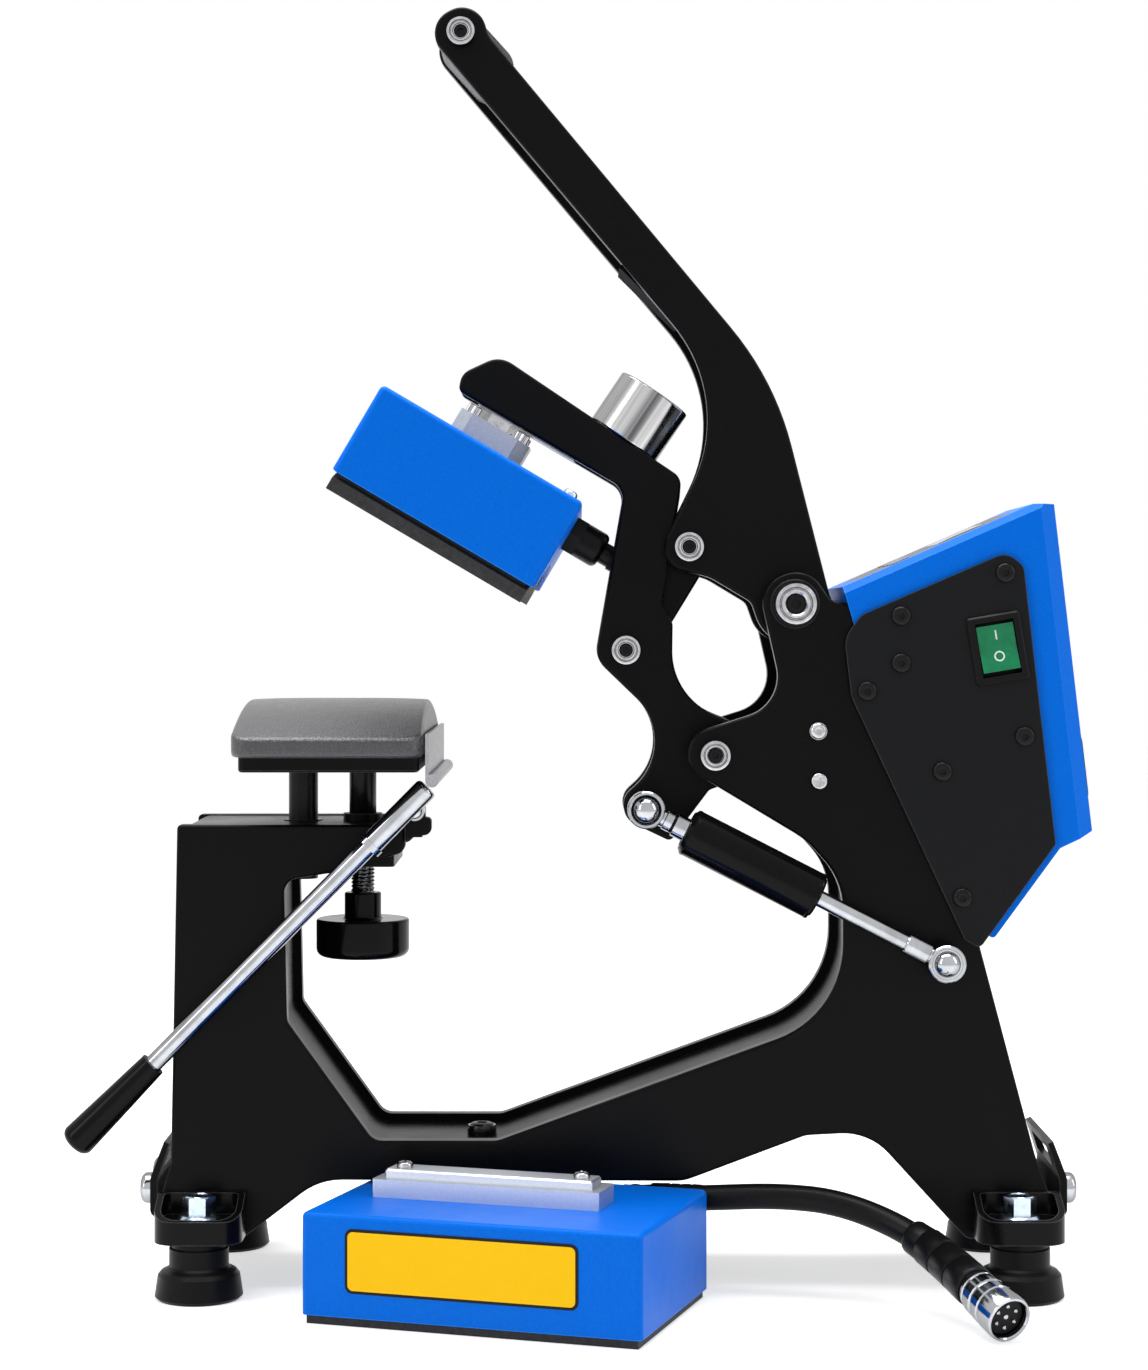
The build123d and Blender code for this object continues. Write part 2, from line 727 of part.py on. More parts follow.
with BuildPart() as lever_hub:
    cross_rod(LEVER_PIVOT, LEVER_PIN_R + 5, -LEVER_IN, LEVER_IN)
    cross_bore(LEVER_PIVOT, LEVER_PIN_R + RUNNING_FIT, -LEVER_IN, LEVER_IN)
save(lever_hub, "lever_hub")

# grip between the ends of the lever plates
GRIP_R = 11.0
GRIP_LONG = 20.0
with BuildPart() as grip_bar:
    grip_end = along(GRIP_POINT, (90.9, 420), GRIP_LONG)
    grip_turn = math.degrees(math.atan2(grip_end[1] - GRIP_POINT[1], grip_end[0] - GRIP_POINT[0]))
    with BuildSketch(Plane.XZ.offset(-LEVER_IN)):
        with Locations(along(GRIP_POINT, grip_end, GRIP_LONG / 2)):
            SlotCenterToCenter(GRIP_LONG, 2 * GRIP_R, rotation=grip_turn)
    extrude(amount=2 * LEVER_IN)
    cross_bore(GRIP_POINT, GRIP_BOLT_R, -LEVER_IN, LEVER_IN)
save(grip_bar, "grip_bar")

with BuildPart() as lever_bolts:
    cap_bolt(TOGGLE_PIVOT, TOGGLE_PIN_R, 6.5, 6, LEVER_OUT, LEVER_OUT)
    cap_bolt(GRIP_POINT, GRIP_BOLT_R, 6.3, 5, LEVER_OUT, LEVER_OUT)
save(lever_bolts, "lever_bolts")

# toggle link between the lever and the arm
LINK_HALF = 12.0
with BuildPart() as toggle_link:
    link_turn = math.degrees(math.atan2(TOGGLE_PIVOT[1] - LINK_PIVOT[1], TOGGLE_PIVOT[0] - LINK_PIVOT[0]))
    link_long = math.dist(TOGGLE_PIVOT, LINK_PIVOT)
    with BuildSketch(Plane.XZ.offset(-LINK_THICK / 2)):
        with Locations(along(LINK_PIVOT, TOGGLE_PIVOT, link_long / 2)):
            SlotCenterToCenter(link_long, 2 * LINK_HALF, rotation=link_turn)
    extrude(amount=LINK_THICK)
    fillet(toggle_link.faces().filter_by(Axis.Y).edges(), radius=2)
    cross_bore(TOGGLE_PIVOT, TOGGLE_PIN_R + RUNNING_FIT, -LINK_THICK, LINK_THICK)
    cross_bore(LINK_PIVOT, TOGGLE_PIN_R + LINK_EYE_CLEARANCE, -LINK_THICK, LINK_THICK)
save(toggle_link, "toggle_link")

# ---------------------------------------------------------------- swinging arm

ARM_OUTLINE = [
    (-57, 415.8, 3.5),
    (-55.5, 424, 8),
    (-37.5, 432.4, 12),
    (47.5, 375.2, 7),
    (46.8, 366, 15),
    (38.6, 314.5, 8),
    (43.5, 307, 5),
    (43, 272, 32),
    *lobe(ARM_PIVOT, 16, -17, -160),
    (60.6, 228.6, 4),
    (42.5, 204.5, 3),
    *lobe(SPRING_FRONT, 9.8, 160, 45),
    (48.1, 250.6, 28),
    (7, 290.3, 12),
    (20.8, 369.8, 9),
]
LINK_PIN_R = TOGGLE_PIN_R
STUD_SHANK_R = 4.0

with BuildPart() as arm_plates:
    for side, plane in layers(ARM_IN, ARM_OUT):
        with BuildSketch(plane):
            with BuildLine():
                rounded(ARM_OUTLINE)
            make_face()
        extrude(amount=ARM_THICK)
        fillet(rim(arm_plates, side), radius=EDGE_ROUND)
    cross_bore(ARM_PIVOT, ARM_PIN_R + RUNNING_FIT, -ARM_OUT, ARM_OUT)
    cross_bore(LINK_PIVOT, LINK_PIN_R, -ARM_OUT, ARM_OUT)
    cross_bore(SPRING_FRONT, STUD_SHANK_R, -ARM_OUT, -ARM_IN)
save(arm_plates, "arm_plates")

with BuildPart() as arm_hub:
    cross_rod(ARM_PIVOT, ARM_PIN_R + 6, -ARM_IN, ARM_IN)
    cross_bore(ARM_PIVOT, ARM_PIN_R + RUNNING_FIT, -ARM_IN, ARM_IN)
save(arm_hub, "arm_hub")

with BuildPart() as link_pin:
    cap_bolt(LINK_PIVOT, LINK_PIN_R, 6.5, 5, ARM_OUT, ARM_OUT)
save(link_pin, "link_pin")

# ball stud that carries the front end of the gas spring
with BuildPart() as spring_stud_front:
    cross_rod(SPRING_FRONT, STUD_SHANK_R, -ARM_OUT, -ARM_IN)
    cross_rod(SPRING_FRONT, 6.0, SPRING_Y + 10, -ARM_OUT)
    cross_rod(SPRING_FRONT, 3.0, SPRING_Y, SPRING_Y + 10)
    with Locations((SPRING_FRONT[0], SPRING_Y, SPRING_FRONT[1])):
        Sphere(BALL_R)
save(spring_stud_front, "spring_stud_front")

# holding magnet on the arm, and the keeper plate on the lever that it pulls
MAGNET_FROM_FRONT = 69.9
MAGNET_BASE = along(ARM_OUTLINE[2][:2], ARM_OUTLINE[3][:2], MAGNET_FROM_FRONT)
MAGNET_R = 18.4
MAGNET_HIGH = 27.0
KEEPER_GAP = 0.6
edge_along = ARM_OUTLINE[3][0] - ARM_OUTLINE[2][0]
edge_down = ARM_OUTLINE[2][1] - ARM_OUTLINE[3][1]
EDGE_TURN = math.degrees(math.atan2(edge_down, edge_along))

with BuildPart() as magnet:
    base = Plane(
        origin=(MAGNET_BASE[0], 0, MAGNET_BASE[1]),
        x_dir=(0, 1, 0),
        z_dir=(math.sin(math.radians(EDGE_TURN)), 0, math.cos(math.radians(EDGE_TURN))),
    )
    with BuildSketch(base):
        Circle(MAGNET_R)
    extrude(amount=MAGNET_HIGH)
    fillet(magnet.edges(), radius=1.0)
    with BuildSketch(base.offset(MAGNET_HIGH)):
        Circle(MAGNET_R - 5)
        Circle(MAGNET_R - 7, mode=Mode.SUBTRACT)
    extrude(amount=-1.2, mode=Mode.SUBTRACT)
    with BuildSketch(base):
        Circle(ARM_IN - 0.5)
    extrude(amount=-10)
save(magnet, "magnet")

KEEPER_LONG = 38.0
KEEPER_THICK = 6.0
with BuildPart() as keeper_plate:
    lean = math.radians(EDGE_TURN)
    top = (
        MAGNET_BASE[0] + (MAGNET_HIGH + KEEPER_GAP) * math.sin(lean),
        MAGNET_BASE[1] + (MAGNET_HIGH + KEEPER_GAP) * math.cos(lean),
    )
    seat = turned(turned(top, ARM_PIVOT, ARM_TURN), LEVER_PIVOT, -LEVER_TURN)
    keeper_lean = lean - math.radians(ARM_TURN - LEVER_TURN)
    with BuildSketch(
        Plane(
            origin=(seat[0], 0, seat[1]),
            x_dir=(0, 1, 0),
            z_dir=(math.sin(keeper_lean), 0, math.cos(keeper_lean)),
        )
    ):
        Rectangle(2 * LEVER_IN, KEEPER_LONG)
    extrude(amount=KEEPER_THICK)
save(keeper_plate, "keeper_plate")

# ---------------------------------------------------------------- heating element on the arm

PAD_R = ((PLATEN_LONG / 2) ** 2 + PAD_RISE**2) / (2 * PAD_RISE)
PRESS_GAP = 5.5


def element_plane(height):
    """A plane of the mounted element, at a height above its top face."""
    tilt = math.radians(ELEMENT_TILT)
    across = (math.cos(tilt), 0, -math.sin(tilt))
    up = (math.sin(tilt), 0, math.cos(tilt))
    x = ELEMENT_TOP[0] + height * up[0]
    z = ELEMENT_TOP[1] + height * up[2]
    return Plane(origin=(x, 0, z), x_dir=across, z_dir=up)


def arc_under(radius, drop, half):
    """The height of an arch of that radius, whose crown lies at drop, at a distance from its middle."""
    return drop - radius + math.sqrt(radius**2 - half**2)


def element_side(offset_u):
    """The plane across the element, at a distance along its width, with local x along +Y."""
    top = element_plane(0)
    return Plane(origin=top.origin + top.x_dir * (offset_u + ELEMENT_SHIFT), x_dir=(0, 1, 0), z_dir=top.x_dir)


HEATER_R = PAD_R + PRESS_GAP
HEATER_DROP = 53.0 - (HEATER_R - math.sqrt(HEATER_R**2 - (ELEMENT_LONG / 2) ** 2))
SKIRT_R = HEATER_R + HEATER_THICK + HEATER_GAP
SKIRT_DROP = HEATER_DROP - HEATER_THICK - HEATER_GAP


with BuildPart() as element_housing:
    with BuildSketch(element_plane(-ELEMENT_HIGH)):
        with Locations((ELEMENT_SHIFT, 0)):
            RectangleRounded(ELEMENT_WIDE, ELEMENT_LONG, 3)
    extrude(amount=ELEMENT_HIGH)
    fillet(element_housing.faces().sort_by(Axis((0, 0, 0), element_plane(0).z_dir))[-1].edges(), radius=2.5)
    with BuildSketch(element_plane(-ELEMENT_HIGH)):
        with Locations((ELEMENT_SHIFT, 0)):
            Rectangle(ELEMENT_WIDE - 2 * ELEMENT_WALL, ELEMENT_LONG - 2 * ELEMENT_WALL)
    extrude(amount=ELEMENT_HIGH - ELEMENT_WALL, mode=Mode.SUBTRACT)
    with BuildSketch(element_side(-ELEMENT_WIDE)):
        with BuildLine():
            half = ELEMENT_LONG / 2
            ends = arc_under(SKIRT_R, -SKIRT_DROP, half)
            ThreePointArc((-half, ends), (0, -SKIRT_DROP), (half, ends))
            Polyline((half, ends), (half, -80), (-half, -80), (-half, ends))
        make_face()
    extrude(amount=2 * ELEMENT_WIDE, mode=Mode.SUBTRACT)
save(element_housing, "element_housing")

with BuildPart() as heater_plate:
    with BuildSketch(element_side(-ELEMENT_WIDE / 2 + HEATER_INSET)):
        with BuildLine():
            half = ELEMENT_LONG / 2
            low = arc_under(HEATER_R, -HEATER_DROP, half)
            high = arc_under(HEATER_R + HEATER_THICK, -HEATER_DROP + HEATER_THICK, half)
            ThreePointArc((-half, low), (0, -HEATER_DROP), (half, low))
            ThreePointArc((-half, high), (0, -HEATER_DROP + HEATER_THICK), (half, high))
            Line((-half, low), (-half, high))
            Line((half, low), (half, high))
        make_face()
    extrude(amount=ELEMENT_WIDE - 2 * HEATER_INSET)
    inset = ELEMENT_WALL + HEATER_INSET
    with BuildSketch(element_side(-ELEMENT_WIDE / 2 + inset)):
        with BuildLine():
            half = ELEMENT_LONG / 2 - inset
            high = arc_under(HEATER_R + HEATER_THICK, -HEATER_DROP + HEATER_THICK, half)
            ThreePointArc((-half, high), (0, -HEATER_DROP + HEATER_THICK), (half, high))
            Polyline((half, high), (half, -ELEMENT_WALL), (-half, -ELEMENT_WALL), (-half, high))
        make_face()
    extrude(amount=ELEMENT_WIDE - 2 * inset)
save(heater_plate, "heater_plate")

with BuildPart() as adapter_block:
    with BuildSketch(element_plane(0)) as octagon:
        Rectangle(ADAPTER_SIZE, ADAPTER_SIZE)
        chamfer(octagon.vertices(), length=6.3)
    extrude(amount=ADAPTER_HIGH)
save(adapter_block, "adapter_block")

# nose between the arm plates, clamped on the element's stud
NOSE_BASE = 17.0
NOSE_HIGH = 14.0
NUT_HIGH = NOSE_BASE - ADAPTER_HIGH
NUT_R = 10.5
with BuildPart() as arm_nose:
    with BuildSketch(element_plane(NOSE_BASE)):
        with Locations((13.5, 0)):
            RectangleRounded(53, 2 * ARM_IN, 2)
        Circle(STUD_R, mode=Mode.SUBTRACT)
    extrude(amount=NOSE_HIGH)
save(arm_nose, "arm_nose")

with BuildPart() as element_stud:
    with BuildSketch(element_plane(ADAPTER_HIGH)):
        Circle(STUD_R)
    extrude(amount=NOSE_BASE + NOSE_HIGH + NUT_HIGH + 2 - ADAPTER_HIGH)
    for height in (ADAPTER_HIGH, NOSE_BASE + NOSE_HIGH):
        with BuildSketch(element_plane(height)):
            RegularPolygon(NUT_R, 6)
        extrude(amount=NUT_HIGH)
save(element_stud, "element_stud")

# cable gland on the rear wall of the housing, and the lead into the arm
GLAND_DOWN = 13.0
GLAND_LONG = 18.0
LEAD_LONG = 4.8
gland_base = element_side(ELEMENT_WIDE / 2)
gland_base = Plane(
    origin=gland_base.origin - element_plane(0).z_dir * GLAND_DOWN,
    x_dir=(0, 1, 0),
    z_dir=gland_base.z_dir,
)

with BuildPart() as element_gland:
    with BuildSketch(gland_base):
        RegularPolygon(9.8, 6)
    extrude(amount=6)
    with BuildSketch(gland_base.offset(6)):
        Circle(8.6)
    extrude(amount=GLAND_LONG - 6)
    fillet(element_gland.faces().sort_by(Axis((0, 0, 0), gland_base.z_dir))[-1].edges(), radius=3)
    with BuildSketch(gland_base):
        Circle(CABLE_R)
    extrude(amount=GLAND_LONG, mode=Mode.SUBTRACT)
save(element_gland, "element_gland")

with BuildPart() as element_lead:
    with BuildSketch(gland_base):
        Circle(CABLE_R)
    extrude(amount=GLAND_LONG + LEAD_LONG)
save(element_lead, "element_lead")

SOCKET_LONG = 12.0
with BuildPart() as lead_socket:
    with BuildSketch(gland_base.offset(GLAND_LONG + LEAD_LONG)):
        RectangleRounded(2 * ARM_IN, 12, 1.5)
    extrude(amount=SOCKET_LONG)
save(lead_socket, "lead_socket")

# ---------------------------------------------------------------- gas spring

spring_run = math.dist(SPRING_FRONT, SPRING_REAR)
spring_x = (SPRING_REAR[0] - SPRING_FRONT[0]) / spring_run
spring_z = (SPRING_REAR[1] - SPRING_FRONT[1]) / spring_run
# local x runs along the spring from the front ball to the rear ball, local y is the radius
spring_plane = Plane(
    origin=(SPRING_FRONT[0], SPRING_Y, SPRING_FRONT[1]),
    x_dir=(spring_x, 0, spring_z),
    z_dir=(0, -1, 0),
)
spring_axis = Axis(spring_plane.origin, spring_plane.x_dir)

EYE_WIDE = 8.0
EYE_BORE_R = BALL_R + 1.6
EYE_NECK_R = 3.6
TUBE_BORE_R = 9.0
TUBE_CAP = 4.0
TUBE_END = TUBE_START + TUBE_LONG
PISTON_AT = 58.0
PISTON_LONG = 6.0
SLEEVE_R = 4.6
SLEEVE_LONG = 10.0

with BuildPart() as gas_tube:
    cross_rod(SPRING_FRONT, RING_R, SPRING_Y - EYE_WIDE / 2, SPRING_Y + EYE_WIDE / 2)
    with BuildSketch(spring_plane):
        with BuildLine():
            Polyline(
                (EYE_BORE_R, 0),
                (EYE_BORE_R, EYE_NECK_R),
                (TUBE_START - 7, EYE_NECK_R),
                (TUBE_START - 7, SLEEVE_R),
                (TUBE_START, SLEEVE_R),
                (TUBE_START, TUBE_R - 2),
                (TUBE_START + 2, TUBE_R),
                (TUBE_END - 2, TUBE_R),
                (TUBE_END, TUBE_R - 2),
                (TUBE_END, ROD_R + RUNNING_FIT),
                (TUBE_END - TUBE_CAP, ROD_R + RUNNING_FIT),
                (TUBE_END - TUBE_CAP, TUBE_BORE_R),
                (TUBE_START + TUBE_CAP, TUBE_BORE_R),
                (TUBE_START + TUBE_CAP, 0),
                close=True,
            )
        make_face()
    revolve(axis=spring_axis)
    cross_bore(SPRING_FRONT, EYE_BORE_R, SPRING_Y - EYE_WIDE, SPRING_Y + EYE_WIDE)
save(gas_tube, "gas_tube")

with BuildPart() as gas_rod:
    cross_rod(SPRING_REAR, RING_R, SPRING_Y - EYE_WIDE / 2, SPRING_Y + EYE_WIDE / 2)
    sleeve_end = spring_run - RING_R - 1
    with BuildSketch(spring_plane):
        with BuildLine():
            Polyline(
                (PISTON_AT, 0),
                (PISTON_AT, TUBE_BORE_R - RUNNING_FIT),
                (PISTON_AT + PISTON_LONG, TUBE_BORE_R - RUNNING_FIT),
                (PISTON_AT + PISTON_LONG, ROD_R),
                (sleeve_end - SLEEVE_LONG, ROD_R),
                (sleeve_end - SLEEVE_LONG, SLEEVE_R),
                (sleeve_end, SLEEVE_R),
                (sleeve_end, EYE_NECK_R),
                (spring_run - BALL_R - 1, EYE_NECK_R),
                (spring_run - BALL_R - 1, 0),
                close=True,
            )
        make_face()
    revolve(axis=spring_axis)
    cross_bore(SPRING_REAR, BALL_R + RUNNING_FIT, SPRING_Y - EYE_WIDE, SPRING_Y + EYE_WIDE)
save(gas_rod, "gas_rod")

# ---------------------------------------------------------------- platen

PLATEN_MID = PLATEN_FRONT + PLATEN_WIDE / 2
PAD_BASE_Z = PLATE_BASE_Z + PLATE_HIGH
PAD_SIDE_Z = PAD_BASE_Z + PAD_SIDE_HIGH
PLATE_INSET = 2.5

with BuildPart() as platen_plate:
    with BuildSketch(Plane.XY.offset(PLATE_BASE_Z)):
        with Locations((PLATEN_MID + 1, 0)):
            RectangleRounded(PLATEN_WIDE - 2 * PLATE_INSET, PLATEN_LONG - 4, 4)
    extrude(amount=PLATE_HIGH)
    chamfer(platen_plate.faces().sort_by(Axis.Z)[0].edges(), length=0.8)
save(platen_plate, "platen_plate")

with BuildPart() as platen_pad:
    with BuildSketch(Plane.YZ.offset(PLATEN_FRONT)):
        with BuildLine():
            half = PLATEN_LONG / 2
            ThreePointArc((-half, PAD_SIDE_Z), (0, PAD_SIDE_Z + PAD_RISE), (half, PAD_SIDE_Z))
            Polyline((half, PAD_SIDE_Z), (half, PAD_BASE_Z), (-half, PAD_BASE_Z), (-half, PAD_SIDE_Z))
        make_face()
    extrude(amount=PLATEN_WIDE)
    fillet(platen_pad.edges().filter_by(lambda e: e.center().Z > PAD_BASE_Z + 1), radius=2.5)
save(platen_pad, "platen_pad")

with BuildPart() as guide_post:
    with BuildSketch(Plane.XY.offset(186)):
        with Locations((POST_X, 0)):
            Circle(POST_R)
    extrude(amount=PLATE_BASE_Z - 186)
save(guide_post, "guide_post")

JOURNAL_BASE_Z = 208.5
with BuildPart() as spindle:
    for base, top, radius in (
        (JOURNAL_BASE_Z, PLATE_BASE_Z, JOURNAL_R),
        (KNOB_Z + KNOB_HIGH - KNOB_SOCKET, JOURNAL_BASE_Z, THREAD_R),
    ):
        with BuildSketch(Plane.XY.offset(base)):
            with Locations((SPINDLE_X, 0)):
                Circle(radius)
        extrude(amount=top - base)
save(spindle, "spindle")

# turned height knob on the lower end of the spindle
with BuildPart() as knob:
    with BuildSketch(Plane.XZ):
        with BuildLine():
            FilletPolyline(
                (SPINDLE_X, KNOB_Z),
                (SPINDLE_X + KNOB_R, KNOB_Z),
                (SPINDLE_X + KNOB_R, KNOB_Z + KNOB_HIGH),
                (SPINDLE_X + NECK_R, KNOB_Z + KNOB_HIGH),
                (SPINDLE_X + NECK_R, KNOB_Z + KNOB_HIGH + NECK_HIGH),
                (SPINDLE_X + THREAD_R, KNOB_Z + KNOB_HIGH + NECK_HIGH),
                (SPINDLE_X + THREAD_R, KNOB_Z + KNOB_HIGH - KNOB_SOCKET),
                (SPINDLE_X, KNOB_Z + KNOB_HIGH - KNOB_SOCKET),
                radius=[0, 4, 1.2, 1.5, 1, 0, 0, 0],
                close=True,
            )
        make_face()
    revolve(axis=Axis((SPINDLE_X, 0, 0), (0, 0, 1)))
save(knob, "knob")

# ---------------------------------------------------------------- hold-down lever

HOLD_PIN_R = 2.5
STRAP_X = -69.5
STRAP_HALF = 74.0
STRAP_THICK = 1.5
STRAP_HIGH = 21.0
HEM_R = 3.0
HEM = (STRAP_X + HEM_R, HOLD_TOP[1])
LUG_BACK = 39.0
LUG_FRONT = 44.5
HUB_CLEARANCE = 0.5
HUB_R = 4.5
LUG_TIP = -68.2

with BuildPart() as hold_bracket:
    with BuildSketch(Plane.XZ.offset(FRAME_IN)):
        with Locations((OVERHANG_TIP, 211.5)):
            Rectangle(8, 6, align=(Align.MIN, Align.CENTER))
    extrude(amount=LUG_FRONT - FRAME_IN)
    with BuildSketch(Plane.XZ.offset(LUG_BACK)):
        with BuildLine():
            rounded(
                [
                    (OVERHANG_TIP, 206.5, 0),
                    (OVERHANG_TIP, COLUMN_TOP, 0),
                    (HOLD_PIVOT[0] - 4.5, COLUMN_TOP + 1, 2),
                    (HOLD_PIVOT[0] - 4.5, HOLD_PIVOT[1] + 4.5, 4.4),
                    (HOLD_PIVOT[0] + 4.5, HOLD_PIVOT[1] + 4.5, 4.4),
                    (HOLD_PIVOT[0] + 4.5, 217.7, 0.6),
                    (LUG_TIP, 217.7, 2),
                    (LUG_TIP, 209.4, 3.5),
                    (LUG_TIP - 6, 209.4, 4),
                ]
            )
        make_face()
    extrude(amount=LUG_FRONT - LUG_BACK)
    cross_rod(HOLD_PIVOT, HOLD_PIN_R, HOLD_Y + 1, -LUG_FRONT + 1)
save(hold_bracket, "hold_bracket")

with BuildPart() as hold_strap:
    with BuildSketch(Plane.XY.offset(HOLD_TOP[1])):
        with Locations((STRAP_X + STRAP_THICK / 2, 0)):
            Rectangle(STRAP_THICK, 2 * STRAP_HALF)
    extrude(amount=STRAP_HIGH)
    cross_rod(HEM, HEM_R, -STRAP_HALF, STRAP_HALF)
save(hold_strap, "hold_strap")


def hold_bar(radius, start, end, grow=0.0, mode=Mode.ADD):
    """A round bar along the hold-down rod, between two distances from its top end, widening by grow degrees."""
    top = (HOLD_TOP[0] - 2, HOLD_TOP[1] - 3)
    run = math.dist(top, HOLD_GRIP_END)
    way = ((HOLD_GRIP_END[0] - top[0]) / run, (HOLD_GRIP_END[1] - top[1]) / run)
    origin = (top[0] + way[0] * start, HOLD_Y, top[1] + way[1] * start)
    with BuildSketch(Plane(origin=origin, x_dir=(0, 1, 0), z_dir=(way[0], 0, way[1]))) as section:
        Circle(radius)
    extrude(section.sketch, amount=end - start, taper=-grow, mode=mode)


HOLD_LONG = math.dist((HOLD_TOP[0] - 2, HOLD_TOP[1] - 3), HOLD_GRIP_END)
ROD_R_HOLD = 4.2
SLEEVE_R_HOLD = 5.4
SLEEVE_END = 40.0
GRIP_SLEEVE_LONG = 52.0
GRIP_TOP_R = 6.0
GRIP_END_R = 8.0
GRIP_GROW = math.degrees(math.atan2(GRIP_END_R - GRIP_TOP_R, GRIP_SLEEVE_LONG))
with BuildPart() as hold_rod:
    hold_bar(SLEEVE_R_HOLD, 1.5, SLEEVE_END)
    fillet(hold_rod.faces().sort_by(Axis.Z)[-1].edges(), radius=2)
    hold_bar(SLEEVE_R_HOLD + 0.9, SLEEVE_END - 3, SLEEVE_END)
    hold_bar(ROD_R_HOLD, SLEEVE_END, HOLD_LONG - 6)
    cross_rod(HOLD_PIVOT, HUB_R, HOLD_Y, -LUG_FRONT - HUB_CLEARANCE)
    cross_bore(HOLD_PIVOT, HOLD_PIN_R + RUNNING_FIT, HOLD_Y + 0.5, -LUG_FRONT)
    cross_bore(HEM, HEM_R, HOLD_Y - 10, HOLD_Y + 10)
save(hold_rod, "hold_rod")

with BuildPart() as hold_grip:
    hold_bar(GRIP_TOP_R, HOLD_LONG - GRIP_SLEEVE_LONG, HOLD_LONG, grow=GRIP_GROW)
    fillet(hold_grip.faces().sort_by(Axis.Z)[0].edges(), radius=4)
    hold_bar(ROD_R_HOLD, HOLD_LONG - GRIP_SLEEVE_LONG - 1, HOLD_LONG - 6, mode=Mode.SUBTRACT)
save(hold_grip, "hold_grip")

# ---------------------------------------------------------------- spare element on the bench

SPARE_BASE = 4.0
spare_turn = math.radians(SPARE_TURN)
SPARE_X_DIR = (math.cos(spare_turn), math.sin(spare_turn), 0)


def spare_plane(height):
    """The spare's own plane: its front left corner, x along its front, y towards the frame.

    The rear right corner, beside the cable gland, stays where it is when the housing grows.
    """
    rear = Plane(origin=(*SPARE_CORNER, height), x_dir=SPARE_X_DIR, z_dir=(0, 0, 1))
    front = rear.origin - rear.x_dir * ELEMENT_LONG - rear.y_dir * ELEMENT_WIDE
    return Plane(origin=front, x_dir=SPARE_X_DIR, z_dir=(0, 0, 1))


def spare_front(depth, height):
    """A plane facing the frame, at a depth behind the spare's front and a height."""
    place = spare_plane(height)
    return Plane(origin=place.origin + place.y_dir * depth, x_dir=place.x_dir, z_dir=place.y_dir)


CORNER = (Align.MIN, Align.MIN)
with BuildPart() as spare_housing:
    with BuildSketch(spare_plane(SPARE_BASE)):
        Rectangle(ELEMENT_LONG, ELEMENT_WIDE, align=CORNER)
    extrude(amount=ELEMENT_HIGH)
    fillet(spare_housing.edges().filter_by(Axis.Z), radius=3)
    fillet(spare_housing.faces().sort_by(Axis.Z)[-1].edges(), radius=2.5)
    with BuildSketch(spare_plane(SPARE_BASE)):
        with Locations((ELEMENT_WALL, ELEMENT_WALL)):
            Rectangle(ELEMENT_LONG - 2 * ELEMENT_WALL, ELEMENT_WIDE - 2 * ELEMENT_WALL, align=CORNER)
    extrude(amount=ELEMENT_HIGH - ELEMENT_WALL, mode=Mode.SUBTRACT)
save(spare_housing, "spare_housing")

with BuildPart() as spare_heater_plate:
    with BuildSketch(spare_plane(0)):
        with Locations((HEATER_INSET, HEATER_INSET)):
            Rectangle(ELEMENT_LONG - 2 * HEATER_INSET, ELEMENT_WIDE - 2 * HEATER_INSET, align=CORNER)
    extrude(amount=SPARE_BASE)
    inset = ELEMENT_WALL + HEATER_INSET
    with BuildSketch(spare_plane(SPARE_BASE)):
        with Locations((inset, inset)):
            Rectangle(ELEMENT_LONG - 2 * inset, ELEMENT_WIDE - 2 * inset, align=CORNER)
    extrude(amount=ELEMENT_HIGH - ELEMENT_WALL)
save(spare_heater_plate, "spare_heater_plate")

# stepped rail that slides into a press
RAIL_AT = 70.5
RAIL_LONG = 107.0
RAIL_WIDE = 24.0
RAIL_HIGH = 8.0
RAIL_STEP = 4.0
RAIL_STEP_IN = 4.5
with BuildPart() as spare_rail:
    for inset, base, height in ((0, 0, RAIL_HIGH), (RAIL_STEP_IN, RAIL_HIGH, RAIL_STEP)):
        with BuildSketch(spare_plane(SPARE_BASE + ELEMENT_HIGH + base)):
            with Locations((RAIL_AT, ELEMENT_WIDE / 2)):
                RectangleRounded(RAIL_LONG - 2 * inset, RAIL_WIDE - 2 * inset, 1.5)
        extrude(amount=height)
    chamfer(spare_rail.faces().sort_by(Axis.Z)[-1].edges(), length=0.8)
save(spare_rail, "spare_rail")

SPARE_ROUTE = [
    (33.6, -37.6, 41),
    (60.6, -46.6, 43.5),
    (90, -54.5, 46),
    (117, -61, 44.5),
    (143.5, -73.5, 36),
    (160.5, -94.5, 26.6),
    (171.5, -118.5, 18.5),
]
SPARE_GLAND_FROM_END = 37.0
with BuildPart() as spare_gland:
    rear = spare_front(ELEMENT_WIDE, 40)
    base = Plane(origin=rear.origin + rear.x_dir * (ELEMENT_LONG - SPARE_GLAND_FROM_END), x_dir=rear.x_dir, z_dir=rear.z_dir)
    with BuildSketch(base):
        RegularPolygon(9, 6)
    extrude(amount=5)
    with BuildSketch(base):
        Circle(7.5)
    extrude(amount=9)
    start = Vector(*SPARE_ROUTE[0])
    way = (Vector(*SPARE_ROUTE[1]) - start).normalized()
    with BuildSketch(Plane(origin=start, z_dir=way)):
        Circle(SPARE_CABLE_R + 1)
    extrude(amount=-14)
save(spare_gland, "spare_gland")


def bend_radii(points):
    """The radius of each arc: 0.45 of the shorter run over the tangent of half the turn."""
    radii = []
    for before, at, after in zip(points, points[1:], points[2:]):
        run_in = Vector(*at) - Vector(*before)
        run_out = Vector(*after) - Vector(*at)
        half_turn = math.radians(run_in.get_angle(run_out)) / 2
        radii.append(0.45 * min(run_in.length, run_out.length) / math.tan(half_turn))
    return radii


